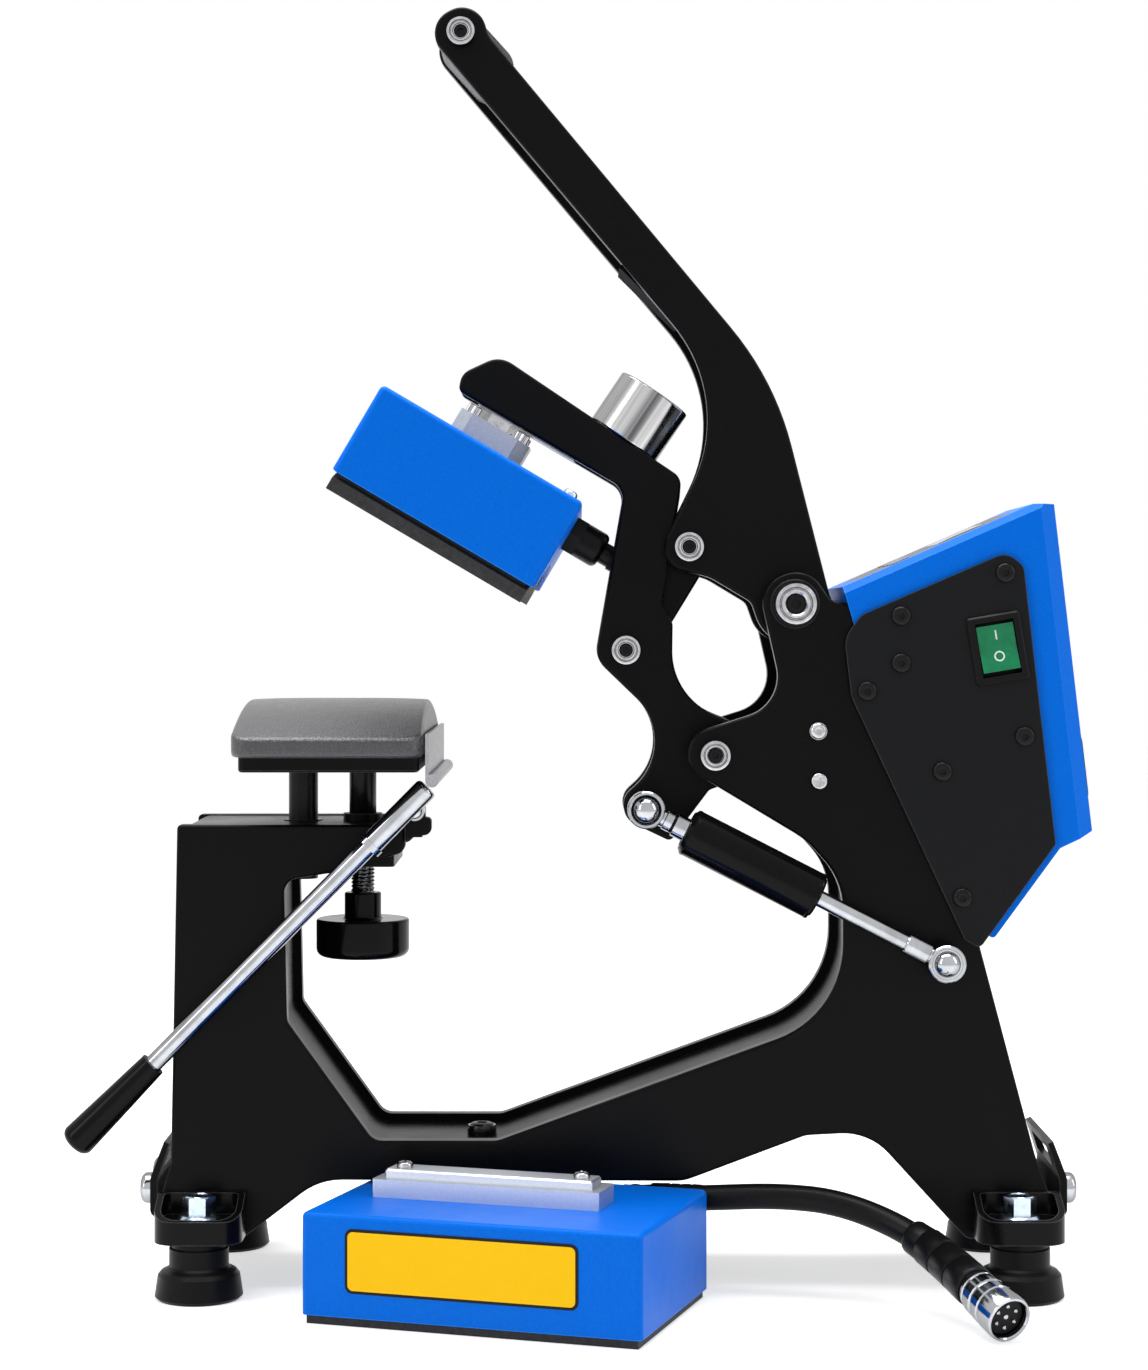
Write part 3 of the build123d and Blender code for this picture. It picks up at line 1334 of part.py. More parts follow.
with BuildPart() as spare_cord:
    radii = bend_radii(SPARE_ROUTE)
    print("cord radii", [round(radius) for radius in radii])
    with BuildLine() as cord_line:
        FilletPolyline(*SPARE_ROUTE, radius=radii)
    with BuildSketch(Plane(origin=SPARE_ROUTE[0], z_dir=cord_line.line % 0)):
        Circle(SPARE_CABLE_R)
    sweep(path=cord_line.line)
cord_section = math.pi * SPARE_CABLE_R**2
cord_length = sum(edge.length for edge in cord_line.edges())
print("cord length", round(cord_length, 1))
print("cord volume over section times length", spare_cord.part.volume / (cord_section * cord_length))
save(spare_cord, "spare_cord")

CONNECTOR_R = 10.5
CONNECTOR_LONG = 28.0
with BuildPart() as spare_connector:
    end = Vector(*SPARE_ROUTE[-1])
    way = (end - Vector(*SPARE_ROUTE[-2])).normalized()
    with BuildSketch(Plane(origin=end, z_dir=way)):
        Circle(CONNECTOR_R)
    extrude(amount=CONNECTOR_LONG)
    ends = spare_connector.edges().filter_by(GeomType.CIRCLE)
    fillet(ends, radius=1.2)
    with BuildSketch(Plane(origin=end + way * CONNECTOR_LONG, z_dir=way)):
        Circle(CONNECTOR_R - 2)
    extrude(amount=-8, mode=Mode.SUBTRACT)
save(spare_connector, "spare_connector")
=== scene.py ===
import math

import bmesh
import bpy
import numpy as np
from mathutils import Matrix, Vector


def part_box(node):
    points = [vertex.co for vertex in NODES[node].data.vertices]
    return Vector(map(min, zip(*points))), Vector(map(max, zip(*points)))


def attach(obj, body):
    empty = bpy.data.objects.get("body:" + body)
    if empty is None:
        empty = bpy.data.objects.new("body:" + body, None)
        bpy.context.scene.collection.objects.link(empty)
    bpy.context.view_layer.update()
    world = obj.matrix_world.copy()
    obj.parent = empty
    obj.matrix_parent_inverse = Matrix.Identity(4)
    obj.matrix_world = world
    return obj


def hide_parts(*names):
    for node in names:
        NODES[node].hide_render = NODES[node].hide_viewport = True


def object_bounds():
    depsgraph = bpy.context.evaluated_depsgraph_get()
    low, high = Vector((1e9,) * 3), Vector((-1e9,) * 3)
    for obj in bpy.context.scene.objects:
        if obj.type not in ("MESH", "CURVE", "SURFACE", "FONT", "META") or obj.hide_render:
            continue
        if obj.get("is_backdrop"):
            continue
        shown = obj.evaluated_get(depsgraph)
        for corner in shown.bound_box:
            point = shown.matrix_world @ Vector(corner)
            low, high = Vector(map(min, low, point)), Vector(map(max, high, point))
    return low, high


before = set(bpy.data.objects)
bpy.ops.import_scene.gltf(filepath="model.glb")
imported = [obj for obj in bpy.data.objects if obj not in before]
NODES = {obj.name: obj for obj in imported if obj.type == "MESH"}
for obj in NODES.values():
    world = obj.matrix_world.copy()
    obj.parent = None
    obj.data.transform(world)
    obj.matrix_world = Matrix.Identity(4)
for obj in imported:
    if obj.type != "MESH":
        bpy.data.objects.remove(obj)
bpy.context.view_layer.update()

MM = 0.001
UP = (0, 0, 1)

# ---------------------------------------------------------------- places in the frame, in millimetres

LEVER_PIVOT = (98.9, 315.7)
ARM_PIVOT = (62.1, 246.2)
TOGGLE_PIVOT = (50.7, 342.3)
LINK_PIVOT = (21.5, 294.3)
GRIP_POINT = (-55.4, 581.6)
SPRING_FRONT = (30.1, 221.8)
SPRING_REAR = (167.0, 151.8)
HOLD_PIVOT = (-75.5, 221.0)
TIE_POINTS = ((109.5, 257.2), (109.9, 234.2))
FRAME_OUT = 42.0
LEVER_OUT = 26.0
ARM_OUT = 17.5
SPRING_Y = -55.0
HOLD_Y = -52.0
SPINDLE_X = -103.0
SIDE_SHEET_OUT = 46.5

ELEMENT_TOP = (-45.6, 0.0, 388.6)
ELEMENT_TILT = math.radians(30.5)
ADAPTER_HIGH = 12.0

PANEL_MIDDLE = (164.97, 0.0, 342.79)
PANEL_SLOPE = math.radians(23.59)
SWITCH_AT = (191.5, -SIDE_SHEET_OUT, 295.3)
SWITCH_TURN = math.radians(9.5)

FEET = ((-173.4, -56.0), (-173.4, 56.0), (200.3, -56.0), (200.3, 56.0))
FOOT_BOLT_TOP = 46.0
FOOT_FLANGE_BASE = 35.45

# the loose element: its rear right corner, its turn on the bench and its own size
SPARE_CORNER = (58.4, -54.1)
SPARE_TURN = math.radians(-18.0)
SPARE_LONG = 156.0
SPARE_DEEP = 105.0

# the loose element's lead, from its gland to its connector
SPARE_ROUTE = (
    (33.6, -37.6, 41),
    (60.6, -46.6, 43.5),
    (90, -54.5, 46),
    (117, -61, 44.5),
    (143.5, -73.5, 36),
    (160.5, -94.5, 26.6),
    (171.5, -118.5, 18.5),
)
SPARE_CABLE_R = 5.8
SLEEVE_LONG = 48.0


# ---------------------------------------------------------------- shader helpers

class Shades:
    """A small hand for wiring one node tree."""

    def __init__(self, tree):
        self.tree = tree

    def node(self, kind, **settings):
        made = self.tree.nodes.new(kind)
        for key, value in settings.items():
            setattr(made, key, value)
        return made

    def link(self, source, target):
        self.tree.links.new(source, target)

    def feed(self, socket, value):
        """Sets a socket to a constant, or wires it to another socket."""
        if isinstance(value, (int, float, tuple)):
            socket.default_value = value
        else:
            self.link(value, socket)

    def maths(self, operation, first, second):
        made = self.node("ShaderNodeMath", operation=operation)
        self.feed(made.inputs[0], first)
        self.feed(made.inputs[1], second)
        return made.outputs[0]

    def ramp(self, source, low, high, out_low=0.0, out_high=1.0):
        made = self.node("ShaderNodeMapRange", clamp=True)
        self.link(source, made.inputs["Value"])
        for name, value in (("From Min", low), ("From Max", high), ("To Min", out_low), ("To Max", out_high)):
            self.feed(made.inputs[name], value)
        return made.outputs["Result"]

    def noise(self, coords, scale, detail=4.0, roughness=0.55):
        made = self.node("ShaderNodeTexNoise")
        self.link(coords, made.inputs["Vector"])
        for name, value in (("Scale", scale), ("Detail", detail), ("Roughness", roughness)):
            self.feed(made.inputs[name], value)
        return made.outputs["Fac"]

    def mix(self, share, first, second):
        made = self.node("ShaderNodeMix", data_type="RGBA")
        for place, value in ((0, share), (6, first), (7, second)):
            self.feed(made.inputs[place], value)
        return made.outputs[2]

    def bump(self, height, strength, distance):
        made = self.node("ShaderNodeBump")
        self.link(height, made.inputs["Height"])
        self.feed(made.inputs["Strength"], strength)
        self.feed(made.inputs["Distance"], distance)
        return made.outputs["Normal"]


def effect(name, inputs, outputs):
    """An empty node group with named sockets: inputs and outputs are (name, kind, default) rows."""
    tree = bpy.data.node_groups.new(name, "ShaderNodeTree")
    for direction, rows in (("INPUT", inputs), ("OUTPUT", outputs)):
        for label, kind, default in rows:
            socket = tree.interface.new_socket(label, in_out=direction, socket_type=f"NodeSocket{kind}")
            if default is not None:
                socket.default_value = default
    hand = Shades(tree)
    return hand, hand.node("NodeGroupInput"), hand.node("NodeGroupOutput")


def grain_effect():
    """Orange peel and fine grain of a sprayed or moulded skin."""
    inputs = (
        ("Vector", "Vector", None),
        ("Scale", "Float", 900.0),
        ("Depth", "Float", 0.3),
        ("Roughness", "Float", 0.5),
        ("Swing", "Float", 0.08),
    )
    outputs = (("Normal", "Vector", None), ("Roughness", "Float", None), ("Tone", "Float", None))
    hand, entry, out = effect("sprayed_grain", inputs, outputs)
    vector = entry.outputs["Vector"]
    fine = hand.noise(vector, entry.outputs["Scale"], 3.0)
    peel = hand.noise(vector, hand.maths("MULTIPLY", entry.outputs["Scale"], 0.22), 2.0)
    clouds = hand.noise(vector, 14.0, 3.0)
    height = hand.maths("ADD", hand.maths("MULTIPLY", fine, 0.6), peel)
    hand.link(hand.bump(height, entry.outputs["Depth"], 0.0002), out.inputs["Normal"])
    low = hand.maths("SUBTRACT", entry.outputs["Roughness"], entry.outputs["Swing"])
    high = hand.maths("ADD", entry.outputs["Roughness"], entry.outputs["Swing"])
    hand.link(hand.ramp(clouds, 0.3, 0.7, low, high), out.inputs["Roughness"])
    hand.link(hand.ramp(fine, 0.25, 0.75), out.inputs["Tone"])
    return hand.tree


def handling_effect():
    """Faint dust that settles on faces that look up, and smears from hands."""
    inputs = (("Vector", "Vector", None), ("Dust", "Float", 0.1), ("Smears", "Float", 0.1))
    outputs = (("Dust", "Float", None), ("Smears", "Float", None))
    hand, entry, out = effect("dust_and_smears", inputs, outputs)
    up = hand.node("ShaderNodeSeparateXYZ")
    hand.link(hand.node("ShaderNodeNewGeometry").outputs["Normal"], up.inputs[0])
    settled = hand.ramp(up.outputs["Z"], 0.5, 1.0)
    specks = hand.ramp(hand.noise(entry.outputs["Vector"], 260.0, 6.0, 0.7), 0.45, 0.75)
    dust = hand.maths("MULTIPLY", hand.maths("MULTIPLY", settled, specks), entry.outputs["Dust"])
    hand.link(dust, out.inputs["Dust"])
    wipes = hand.ramp(hand.noise(entry.outputs["Vector"], 22.0, 5.0, 0.65), 0.5, 0.8)
    hand.link(hand.maths("MULTIPLY", wipes, entry.outputs["Smears"]), out.inputs["Smears"])
    return hand.tree


def turning_effect():
    """Fine lines left by a tool or a brush, drawn out along one direction by the vector's own scaling."""
    inputs = (
        ("Vector", "Vector", None),
        ("Roughness", "Float", 0.25),
        ("Swing", "Float", 0.08),
        ("Depth", "Float", 0.15),
    )
    outputs = (("Normal", "Vector", None), ("Roughness", "Float", None), ("Tone", "Float", None))
    hand, entry, out = effect("tool_lines", inputs, outputs)
    lines = hand.noise(entry.outputs["Vector"], 1.0, 5.0, 0.7)
    hand.link(hand.bump(lines, entry.outputs["Depth"], 0.00005), out.inputs["Normal"])
    low = hand.maths("SUBTRACT", entry.outputs["Roughness"], entry.outputs["Swing"])
    high = hand.maths("ADD", entry.outputs["Roughness"], entry.outputs["Swing"])
    hand.link(hand.ramp(lines, 0.3, 0.7, low, high), out.inputs["Roughness"])
    hand.link(hand.ramp(lines, 0.3, 0.7), out.inputs["Tone"])
    return hand.tree


def edge_highlight_effect():
    """A painted highlight along a coat's edges: one less the dot product of the rounded and the true normal.
    """
    inputs = (("Vector", "Vector", None), ("Reach", "Float", 0.0008), ("Shine", "Float", 0.8))
    hand, entry, out = effect("painted_edge_highlights", inputs, (("Highlight", "Float", None),))
    rounded = hand.node("ShaderNodeBevel", samples=4)
    hand.link(entry.outputs["Reach"], rounded.inputs["Radius"])
    agree = hand.node("ShaderNodeVectorMath", operation="DOT_PRODUCT")
    hand.link(rounded.outputs["Normal"], agree.inputs[0])
    hand.link(hand.node("ShaderNodeNewGeometry").outputs["Normal"], agree.inputs[1])
    turned_away = hand.maths("SUBTRACT", 1.0, agree.outputs["Value"])
    patchy = hand.ramp(hand.noise(entry.outputs["Vector"], 120.0, 4.0, 0.6), 0.2, 0.6, 0.6, 1.0)
    # painted highlight: the share of the lighter edge tone where the rounded normal turns away from the true
    # one
    share = hand.maths("MULTIPLY", hand.ramp(turned_away, 0.02, 0.2), entry.outputs["Shine"])
    hand.link(hand.maths("MULTIPLY", share, patchy), out.inputs["Highlight"])
    return hand.tree


GRAIN = grain_effect()
EDGE_HIGHLIGHTS = edge_highlight_effect()
HANDLING = handling_effect()
TURNING = turning_effect()


def start_material(name):
    """A new material with its Principled shader, and the hand that wires it."""
    made = bpy.data.materials.new(name)
    made.use_nodes = True
    hand = Shades(made.node_tree)
    skin = made.node_tree.nodes["Principled BSDF"]
    coords = hand.node("ShaderNodeTexCoord").outputs["Object"]
    return made, hand, skin, coords


def place_group(hand, tree, vector, **values):
    """Puts a shared effect into a material and sets its named inputs."""
    made = hand.node("ShaderNodeGroup", node_tree=tree)
    hand.link(vector, made.inputs["Vector"])
    for name, value in values.items():
        made.inputs[name].default_value = value
    return made


SPRAY_SWING = 0.06
SPRAY_SMEARS = 0.12
DUST_TONE = (0.45, 0.44, 0.42, 1)


def sprayed(name, colour, light, roughness, depth, scale=900.0, specular=0.5, dust=0.05, edge=None):
    """A painted, coated or moulded skin: two close tones, orange peel, a little dust and handling.

    With an edge tone, a painted highlight runs along its edges.
    """
    made, hand, skin, coords = start_material(name)
    grain = place_group(hand, GRAIN, coords, Scale=scale, Depth=depth, Roughness=roughness, Swing=SPRAY_SWING)
    handling = place_group(hand, HANDLING, coords, Dust=dust, Smears=SPRAY_SMEARS)
    tone = hand.mix(grain.outputs["Tone"], (*colour, 1), (*light, 1))
    tone = hand.mix(handling.outputs["Dust"], tone, DUST_TONE)
    # painted highlight: the edge tone lightens the colour along the edges
    if edge:
        edge_shine = place_group(hand, EDGE_HIGHLIGHTS, coords)
        tone = hand.mix(edge_shine.outputs["Highlight"], tone, (*edge, 1))
    hand.link(tone, skin.inputs["Base Color"])
    rough = hand.maths("ADD", grain.outputs["Roughness"], handling.outputs["Smears"])
    hand.link(rough, skin.inputs["Roughness"])
    hand.link(grain.outputs["Normal"], skin.inputs["Normal"])
    skin.inputs["Specular IOR Level"].default_value = specular
    return made


METAL_SMEARS = 0.06
PAINTED_RIM_SHADE = (0.02, 0.021, 0.024, 1)


def metal(
    name, colour, dark, roughness, stretch, depth=0.15, swing=0.06, rim=0.55, rim_start=0.5, turn=(0, 0, 0),
):
    """A bare metal with tool lines, darkened towards its outline by a painted shade.

    Stretch is the lines' noise scale along X, Y and Z, and turn its direction. Rim is how far the painted
    shade darkens the metal where it turns away from the eye, from the facing of rim_start on.
    """
    made, hand, skin, coords = start_material(name)
    mapping = hand.node("ShaderNodeMapping", vector_type="TEXTURE")
    mapping.inputs["Scale"].default_value = [1.0 / along for along in stretch]
    mapping.inputs["Rotation"].default_value = turn
    hand.link(coords, mapping.inputs["Vector"])
    lines = place_group(hand, TURNING, mapping.outputs[0], Roughness=roughness, Swing=swing, Depth=depth)
    handling = place_group(hand, HANDLING, coords, Dust=0.0, Smears=METAL_SMEARS)
    tone = hand.mix(lines.outputs["Tone"], (*dark, 1), (*colour, 1))
    # painted shade, standing in for dark reflections: the colour darkens towards the outline
    facing = hand.node("ShaderNodeLayerWeight")
    facing.inputs["Blend"].default_value = 0.5
    edge = hand.ramp(facing.outputs["Facing"], rim_start, 1.0, 0.0, rim)
    hand.link(hand.mix(edge, tone, PAINTED_RIM_SHADE), skin.inputs["Base Color"])
    rough = hand.maths("ADD", lines.outputs["Roughness"], handling.outputs["Smears"])
    hand.link(rough, skin.inputs["Roughness"])
    hand.link(lines.outputs["Normal"], skin.inputs["Normal"])
    skin.inputs["Metallic"].default_value = 1.0
    return made


def pad_skin():
    """Grey coated cloth of the platen pad: a leather-like cell grain, faint mottling and a sheen."""
    made, hand, skin, coords = start_material("pad_skin")
    cells = hand.node("ShaderNodeTexVoronoi", feature="DISTANCE_TO_EDGE")
    cells.inputs["Scale"].default_value = 620.0
    hand.link(coords, cells.inputs["Vector"])
    creases = hand.ramp(cells.outputs["Distance"], 0.0, 0.22)
    mottle = hand.noise(coords, 160.0, 5.0, 0.65)
    handling = place_group(hand, HANDLING, coords, Dust=0.05, Smears=0.1)
    tone = hand.mix(hand.ramp(mottle, 0.3, 0.7), (0.036, 0.036, 0.042, 1), (0.056, 0.056, 0.063, 1))
    grained = hand.mix(creases, (0.02, 0.02, 0.024, 1), tone)
    hand.link(hand.mix(handling.outputs["Dust"], grained, (0.4, 0.4, 0.4, 1)), skin.inputs["Base Color"])
    height = hand.maths("ADD", creases, hand.maths("MULTIPLY", mottle, 0.5))
    hand.link(hand.bump(height, 0.3, 0.0003), skin.inputs["Normal"])
    hand.link(hand.ramp(mottle, 0.3, 0.7, 0.3, 0.4), skin.inputs["Roughness"])
    skin.inputs["Specular IOR Level"].default_value = 0.7
    skin.inputs["Sheen Weight"].default_value = 0.25
    skin.inputs["Sheen Roughness"].default_value = 0.4
    return made


def lens_green():
    """Clear-coated green of the rocker, lit only by what falls on it."""
    made, hand, skin, coords = start_material("lens_green")
    depth = hand.noise(coords, 300.0, 3.0)
    tone = hand.mix(hand.ramp(depth, 0.3, 0.7), (0.0, 0.17, 0.062, 1), (0.0, 0.22, 0.085, 1))
    hand.link(tone, skin.inputs["Base Color"])
    hand.link(hand.ramp(depth, 0.3, 0.7, 0.14, 0.24), skin.inputs["Roughness"])
    skin.inputs["Coat Weight"].default_value = 0.2
    skin.inputs["Specular IOR Level"].default_value = 0.2
    skin.inputs["Coat Roughness"].default_value = 0.08
    return made


# the edge tones of the black, sheet and blue coats are painted highlights along their edges
BLACK_COAT = sprayed(
    "black_coat", (0.0026, 0.0026, 0.0029), (0.0042, 0.0042, 0.0046),
    roughness=0.3, depth=0.1, specular=0.07, dust=0.006, edge=(0.13, 0.13, 0.135),
)
SHEET_COAT = sprayed(
    "sheet_coat", (0.0062, 0.0065, 0.0074), (0.008, 0.0083, 0.0092),
    roughness=0.5, depth=0.18, specular=0.1, dust=0.006, edge=(0.11, 0.11, 0.115),
)
BLUE_COAT = sprayed(
    "blue_coat", (0.0, 0.135, 0.7), (0.0, 0.168, 0.8),
    roughness=0.36, depth=0.35, specular=0.07, dust=0.0, edge=(0.05, 0.34, 1.0),
)
BLACK_MOULD = sprayed(
    "black_mould", (0.003, 0.003, 0.0034), (0.0052, 0.0052, 0.0056),
    roughness=0.3, depth=0.1, specular=0.12, dust=0.0,
)
GLOSS_BLACK = sprayed(
    "gloss_black", (0.0018, 0.0018, 0.002), (0.003, 0.003, 0.0033),
    roughness=0.16, depth=0.04, specular=0.1, dust=0.0,
)
MATT_BLACK = sprayed(
    "matt_black", (0.003, 0.003, 0.0033), (0.0048, 0.0048, 0.0052),
    roughness=0.7, depth=0.2, specular=0.02, dust=0.0,
)
# the tray's edge tone is a painted highlight along its edges
TRAY_BLACK = sprayed(
    "tray_black", (0.002, 0.002, 0.0022), (0.0034, 0.0034, 0.0037),
    roughness=0.22, depth=0.1, specular=0.1, dust=0.0, edge=(0.13, 0.13, 0.135),
)
RUBBER = sprayed(
    "moulded_rubber", (0.003, 0.003, 0.0033), (0.005, 0.005, 0.0054),
    roughness=0.36, depth=0.25, scale=500.0, specular=0.1, dust=0.004,
)
CABLE_SKIN = sprayed(
    "cable_skin", (0.003, 0.003, 0.0033), (0.0055, 0.0055, 0.006),
    roughness=0.32, depth=0.25, scale=700.0, specular=0.12, dust=0.0,
)
OXIDE = sprayed(
    "oxide_steel", (0.003, 0.003, 0.0034), (0.0065, 0.0065, 0.007),
    roughness=0.26, depth=0.08, specular=0.16, dust=0.0,
)
HEATER_EDGE = sprayed(
    "heater_coating", (0.02, 0.02, 0.021), (0.042, 0.042, 0.045),
    roughness=0.55, depth=0.5, scale=420.0, specular=0.2, dust=0.0,
)
PANEL_FILM = sprayed(
    "panel_film", (0.012, 0.013, 0.015), (0.015, 0.016, 0.018),
    roughness=0.3, depth=0.06, specular=0.2,
)
DISPLAY_GLASS = sprayed(
    "display_glass", (0.006, 0.008, 0.009), (0.008, 0.01, 0.012),
    roughness=0.08, depth=0.02, specular=0.5, dust=0.0,
)
KEY_GREY = sprayed(
    "key_grey", (0.16, 0.17, 0.18), (0.2, 0.21, 0.22),
    roughness=0.42, depth=0.12, specular=0.25,
)
LABEL_YELLOW = sprayed(
    "label_yellow", (1.0, 0.56, 0.0), (1.0, 0.6, 0.0),
    roughness=0.38, depth=0.05, specular=0.15, dust=0.0,
)
LABEL_BLACK = sprayed(
    "label_black", (0.005, 0.005, 0.005), (0.008, 0.008, 0.008),
    roughness=0.38, depth=0.05, specular=0.15, dust=0.0,
)
WHITE_PRINT = sprayed(
    "white_print", (0.72, 0.8, 0.75), (0.78, 0.84, 0.8),
    roughness=0.4, depth=0.05, dust=0.0,
)
# with rim near one, the painted shade turns chrome and zinc almost black towards their outlines
CHROME = metal(
    "bright_chrome", (0.52, 0.535, 0.56), (0.36, 0.37, 0.39),
    roughness=0.11, stretch=(70, 70, 70), depth=0.03, swing=0.04, rim=0.97, rim_start=0.15,
)
ZINC = metal(
    "zinc_plate", (0.62, 0.62, 0.64), (0.36, 0.36, 0.38),
    roughness=0.2, stretch=(260, 260, 260), depth=0.12, rim=0.95, rim_start=0.12,
)
BLUE_ZINC = metal(
    "blue_zinc", (0.62, 0.72, 0.84), (0.4, 0.48, 0.58),
    roughness=0.22, stretch=(300, 300, 300), depth=0.15, rim=0.85,
)
# grinding lines along the magnet, drawn as painted reflection bands from near black to near white
MAGNET_PAINTED_BANDS = metal(
    "ground_steel_painted_bands", (0.82, 0.82, 0.83), (0.07, 0.07, 0.074),
    roughness=0.16, stretch=(90, 90, 1), depth=0.05, swing=0.05, rim=0.95, rim_start=0.35,
    turn=(0, math.radians(33.94), 0),
)
THREAD_STEEL = metal(
    "thread_steel", (0.34, 0.34, 0.35), (0.14, 0.14, 0.145),
    roughness=0.24, stretch=(300, 300, 300), depth=0.1, rim=0.9, rim_start=0.2,
)
TURNED_STEEL = metal(
    "turned_steel", (0.5, 0.5, 0.51), (0.3, 0.3, 0.31),
    roughness=0.22, stretch=(60, 1400, 60), depth=0.12, rim=0.8,
)
CAST_ALUMINIUM = metal(
    "cast_aluminium", (0.46, 0.48, 0.52), (0.36, 0.38, 0.42),
    roughness=0.4, stretch=(900, 900, 900), depth=0.25, rim=0.4,
)
BLASTED_ALUMINIUM = metal(
    "blasted_aluminium", (0.7, 0.73, 0.79), (0.6, 0.63, 0.69),
    roughness=0.42, stretch=(900, 900, 900), depth=0.2, rim=0.35,
)
BRUSHED_SHEET = metal(
    "brushed_sheet", (0.4, 0.4, 0.42), (0.28, 0.28, 0.3),
    roughness=0.34, stretch=(900, 30, 900), depth=0.12, rim=0.5,
)
GRIP_GREY = sprayed(
    "grip_grey", (0.14, 0.14, 0.145), (0.2, 0.2, 0.205),
    roughness=0.45, depth=0.2, specular=0.2,
)
PAD_SKIN = pad_skin()
LENS_GREEN = lens_green()

FINISHES = {
    BLACK_COAT: (
        "side_plate_near", "side_plate_far", "column_cover", "throat_web", "rear_web", "guide_block",
        "end_straps", "lever_plates", "toggle_link", "arm_plates", "hold_bracket", "platen_plate",
    ),
    MATT_BLACK: ("keeper_plate",),
    TRAY_BLACK: ("foot_brackets",),
    SHEET_COAT: ("controller_sides",),
    BLUE_COAT: ("controller_cover", "element_housing", "spare_housing"),
    BLACK_MOULD: ("switch_bezel", "power_inlet", "element_gland", "lead_socket", "spare_gland"),
    GLOSS_BLACK: ("gas_tube", "hold_grip", "knob"),
    RUBBER: (
        "rubber_foot_front_near", "rubber_foot_front_far", "rubber_foot_rear_near", "rubber_foot_rear_far",
    ),
    CABLE_SKIN: ("element_lead", "spare_cord"),
    OXIDE: ("guide_post", "guide_bush", "spindle"),
    HEATER_EDGE: ("heater_plate", "spare_heater_plate"),
    PANEL_FILM: ("control_panel",),
    CHROME: ("gas_rod", "hold_rod", "spring_stud_front", "spring_stud_rear", "spare_connector"),
    ZINC: ("tie_bolts", "lever_pivot_bolt", "arm_pivot_bolt", "lever_bolts", "link_pin", "element_stud"),
    BLUE_ZINC: ("foot_bolts",),
    MAGNET_PAINTED_BANDS: ("magnet",),
    TURNED_STEEL: ("lever_hub", "arm_hub", "arm_nose"),
    CAST_ALUMINIUM: ("adapter_block",),
    BLASTED_ALUMINIUM: ("spare_rail",),
    BRUSHED_SHEET: ("hold_strap",),
    GRIP_GREY: ("grip_bar",),
    PAD_SKIN: ("platen_pad",),
    LENS_GREEN: ("switch_rocker",),
}
for finish, names in FINISHES.items():
    for name in names:
        mesh = NODES[name].data
        mesh.materials.clear()
        mesh.materials.append(finish)


# ---------------------------------------------------------------- surfaces

ROUND = 48


def unit(vector):
    """A direction of length one."""
    vector = np.array(vector, float)
    return vector / np.linalg.norm(vector)


def polygon(sides):
    """Share of the corner radius at each step round a regular polygon.

    The cosine of half a side's turn, over the cosine of the turn from the side's middle.
    """
    turn = np.arange(ROUND) * 2 * np.pi / ROUND
    half = np.pi / sides
    return np.cos(half) / np.cos(np.mod(turn, 2 * half) - half)


def knurl(depth):
    """Every other step round drawn in by a share of the radius."""
    return 1.0 - depth * (np.arange(ROUND) % 2)


HEX = polygon(6)
CROSS = np.where(np.mod(np.arange(ROUND) + 3, ROUND // 4) < 6, 1.0, 0.42)


def grid(rows):
    """Quads between neighbouring rows of points; the last column joins the first."""
    rows = np.asarray(rows, float)
    tall, wide = rows.shape[:2]
    row, column = np.mgrid[0:tall - 1, 0:wide]
    beside = (column + 1) % wide
    here = row * wide
    after = here + wide
    faces = np.stack((here + column, here + beside, after + beside, after + column), -1)
    return rows.reshape(-1, 3), faces.reshape(-1, 4)


def turned(profile, base, axis):
    """Rows of (distance, radius) turned about the axis: each is a circle, times its form if it has one."""
    axis = unit(axis)
    side = unit(np.cross(axis, (0.137, 0.31, 0.94) if abs(axis[2]) < 0.7 else (0, 1, 0)))
    ahead = np.cross(axis, side)
    turn = np.arange(ROUND) * 2 * np.pi / ROUND
    ring = np.cos(turn)[:, None] * side + np.sin(turn)[:, None] * ahead
    distance = np.array([row[0] for row in profile], float)
    radius = np.array([row[1] * (row[2] if len(row) > 2 else np.ones(ROUND)) for row in profile])
    rows = np.array(base, float) + distance[:, None, None] * axis + radius[:, :, None] * ring
    return grid(rows)


def rounded_rectangle(wide, tall, radius, steps=6):
    """Outline of a plate: a quarter circle about each of its four corner centres."""
    radius = min(radius, wide / 2, tall / 2)
    quarter = np.linspace(0, np.pi / 2, steps)
    corner = np.repeat(np.arange(4), steps)
    turn = np.tile(quarter, 4) + corner * np.pi / 2
    x = np.array((1, -1, -1, 1))[corner] * (wide / 2 - radius) + radius * np.cos(turn)
    y = np.array((1, 1, -1, -1))[corner] * (tall / 2 - radius) + radius * np.sin(turn)
    return np.stack((x, y), -1)


def plaque(wide, tall, radius, rows, place):
    """A closed plate: its outline at each row's height, drawn in by the row's inset, closed at both ends."""
    loops = []
    for height, inset in rows:
        outline = rounded_rectangle(wide - 2 * inset, tall - 2 * inset, max(radius - inset, 0.05))
        loops.append(place(outline[:, 0], outline[:, 1], np.full(len(outline), float(height))))
    ends = [np.broadcast_to(loop.mean(axis=0), loop.shape) for loop in (loops[0], loops[-1])]
    return grid([ends[0], *loops, ends[1]])


def placed(origin, x_dir, z_dir):
    """A function that carries local x, y and z into the frame."""
    origin = np.array(origin, float)
    x_dir, z_dir = unit(x_dir), unit(z_dir)
    y_dir = np.cross(z_dir, x_dir)

    def carry(x, y, z):
        x, y, z = np.broadcast_arrays(x, y, z)
        return origin + x[..., None] * x_dir + y[..., None] * y_dir + z[..., None] * z_dir

    return carry


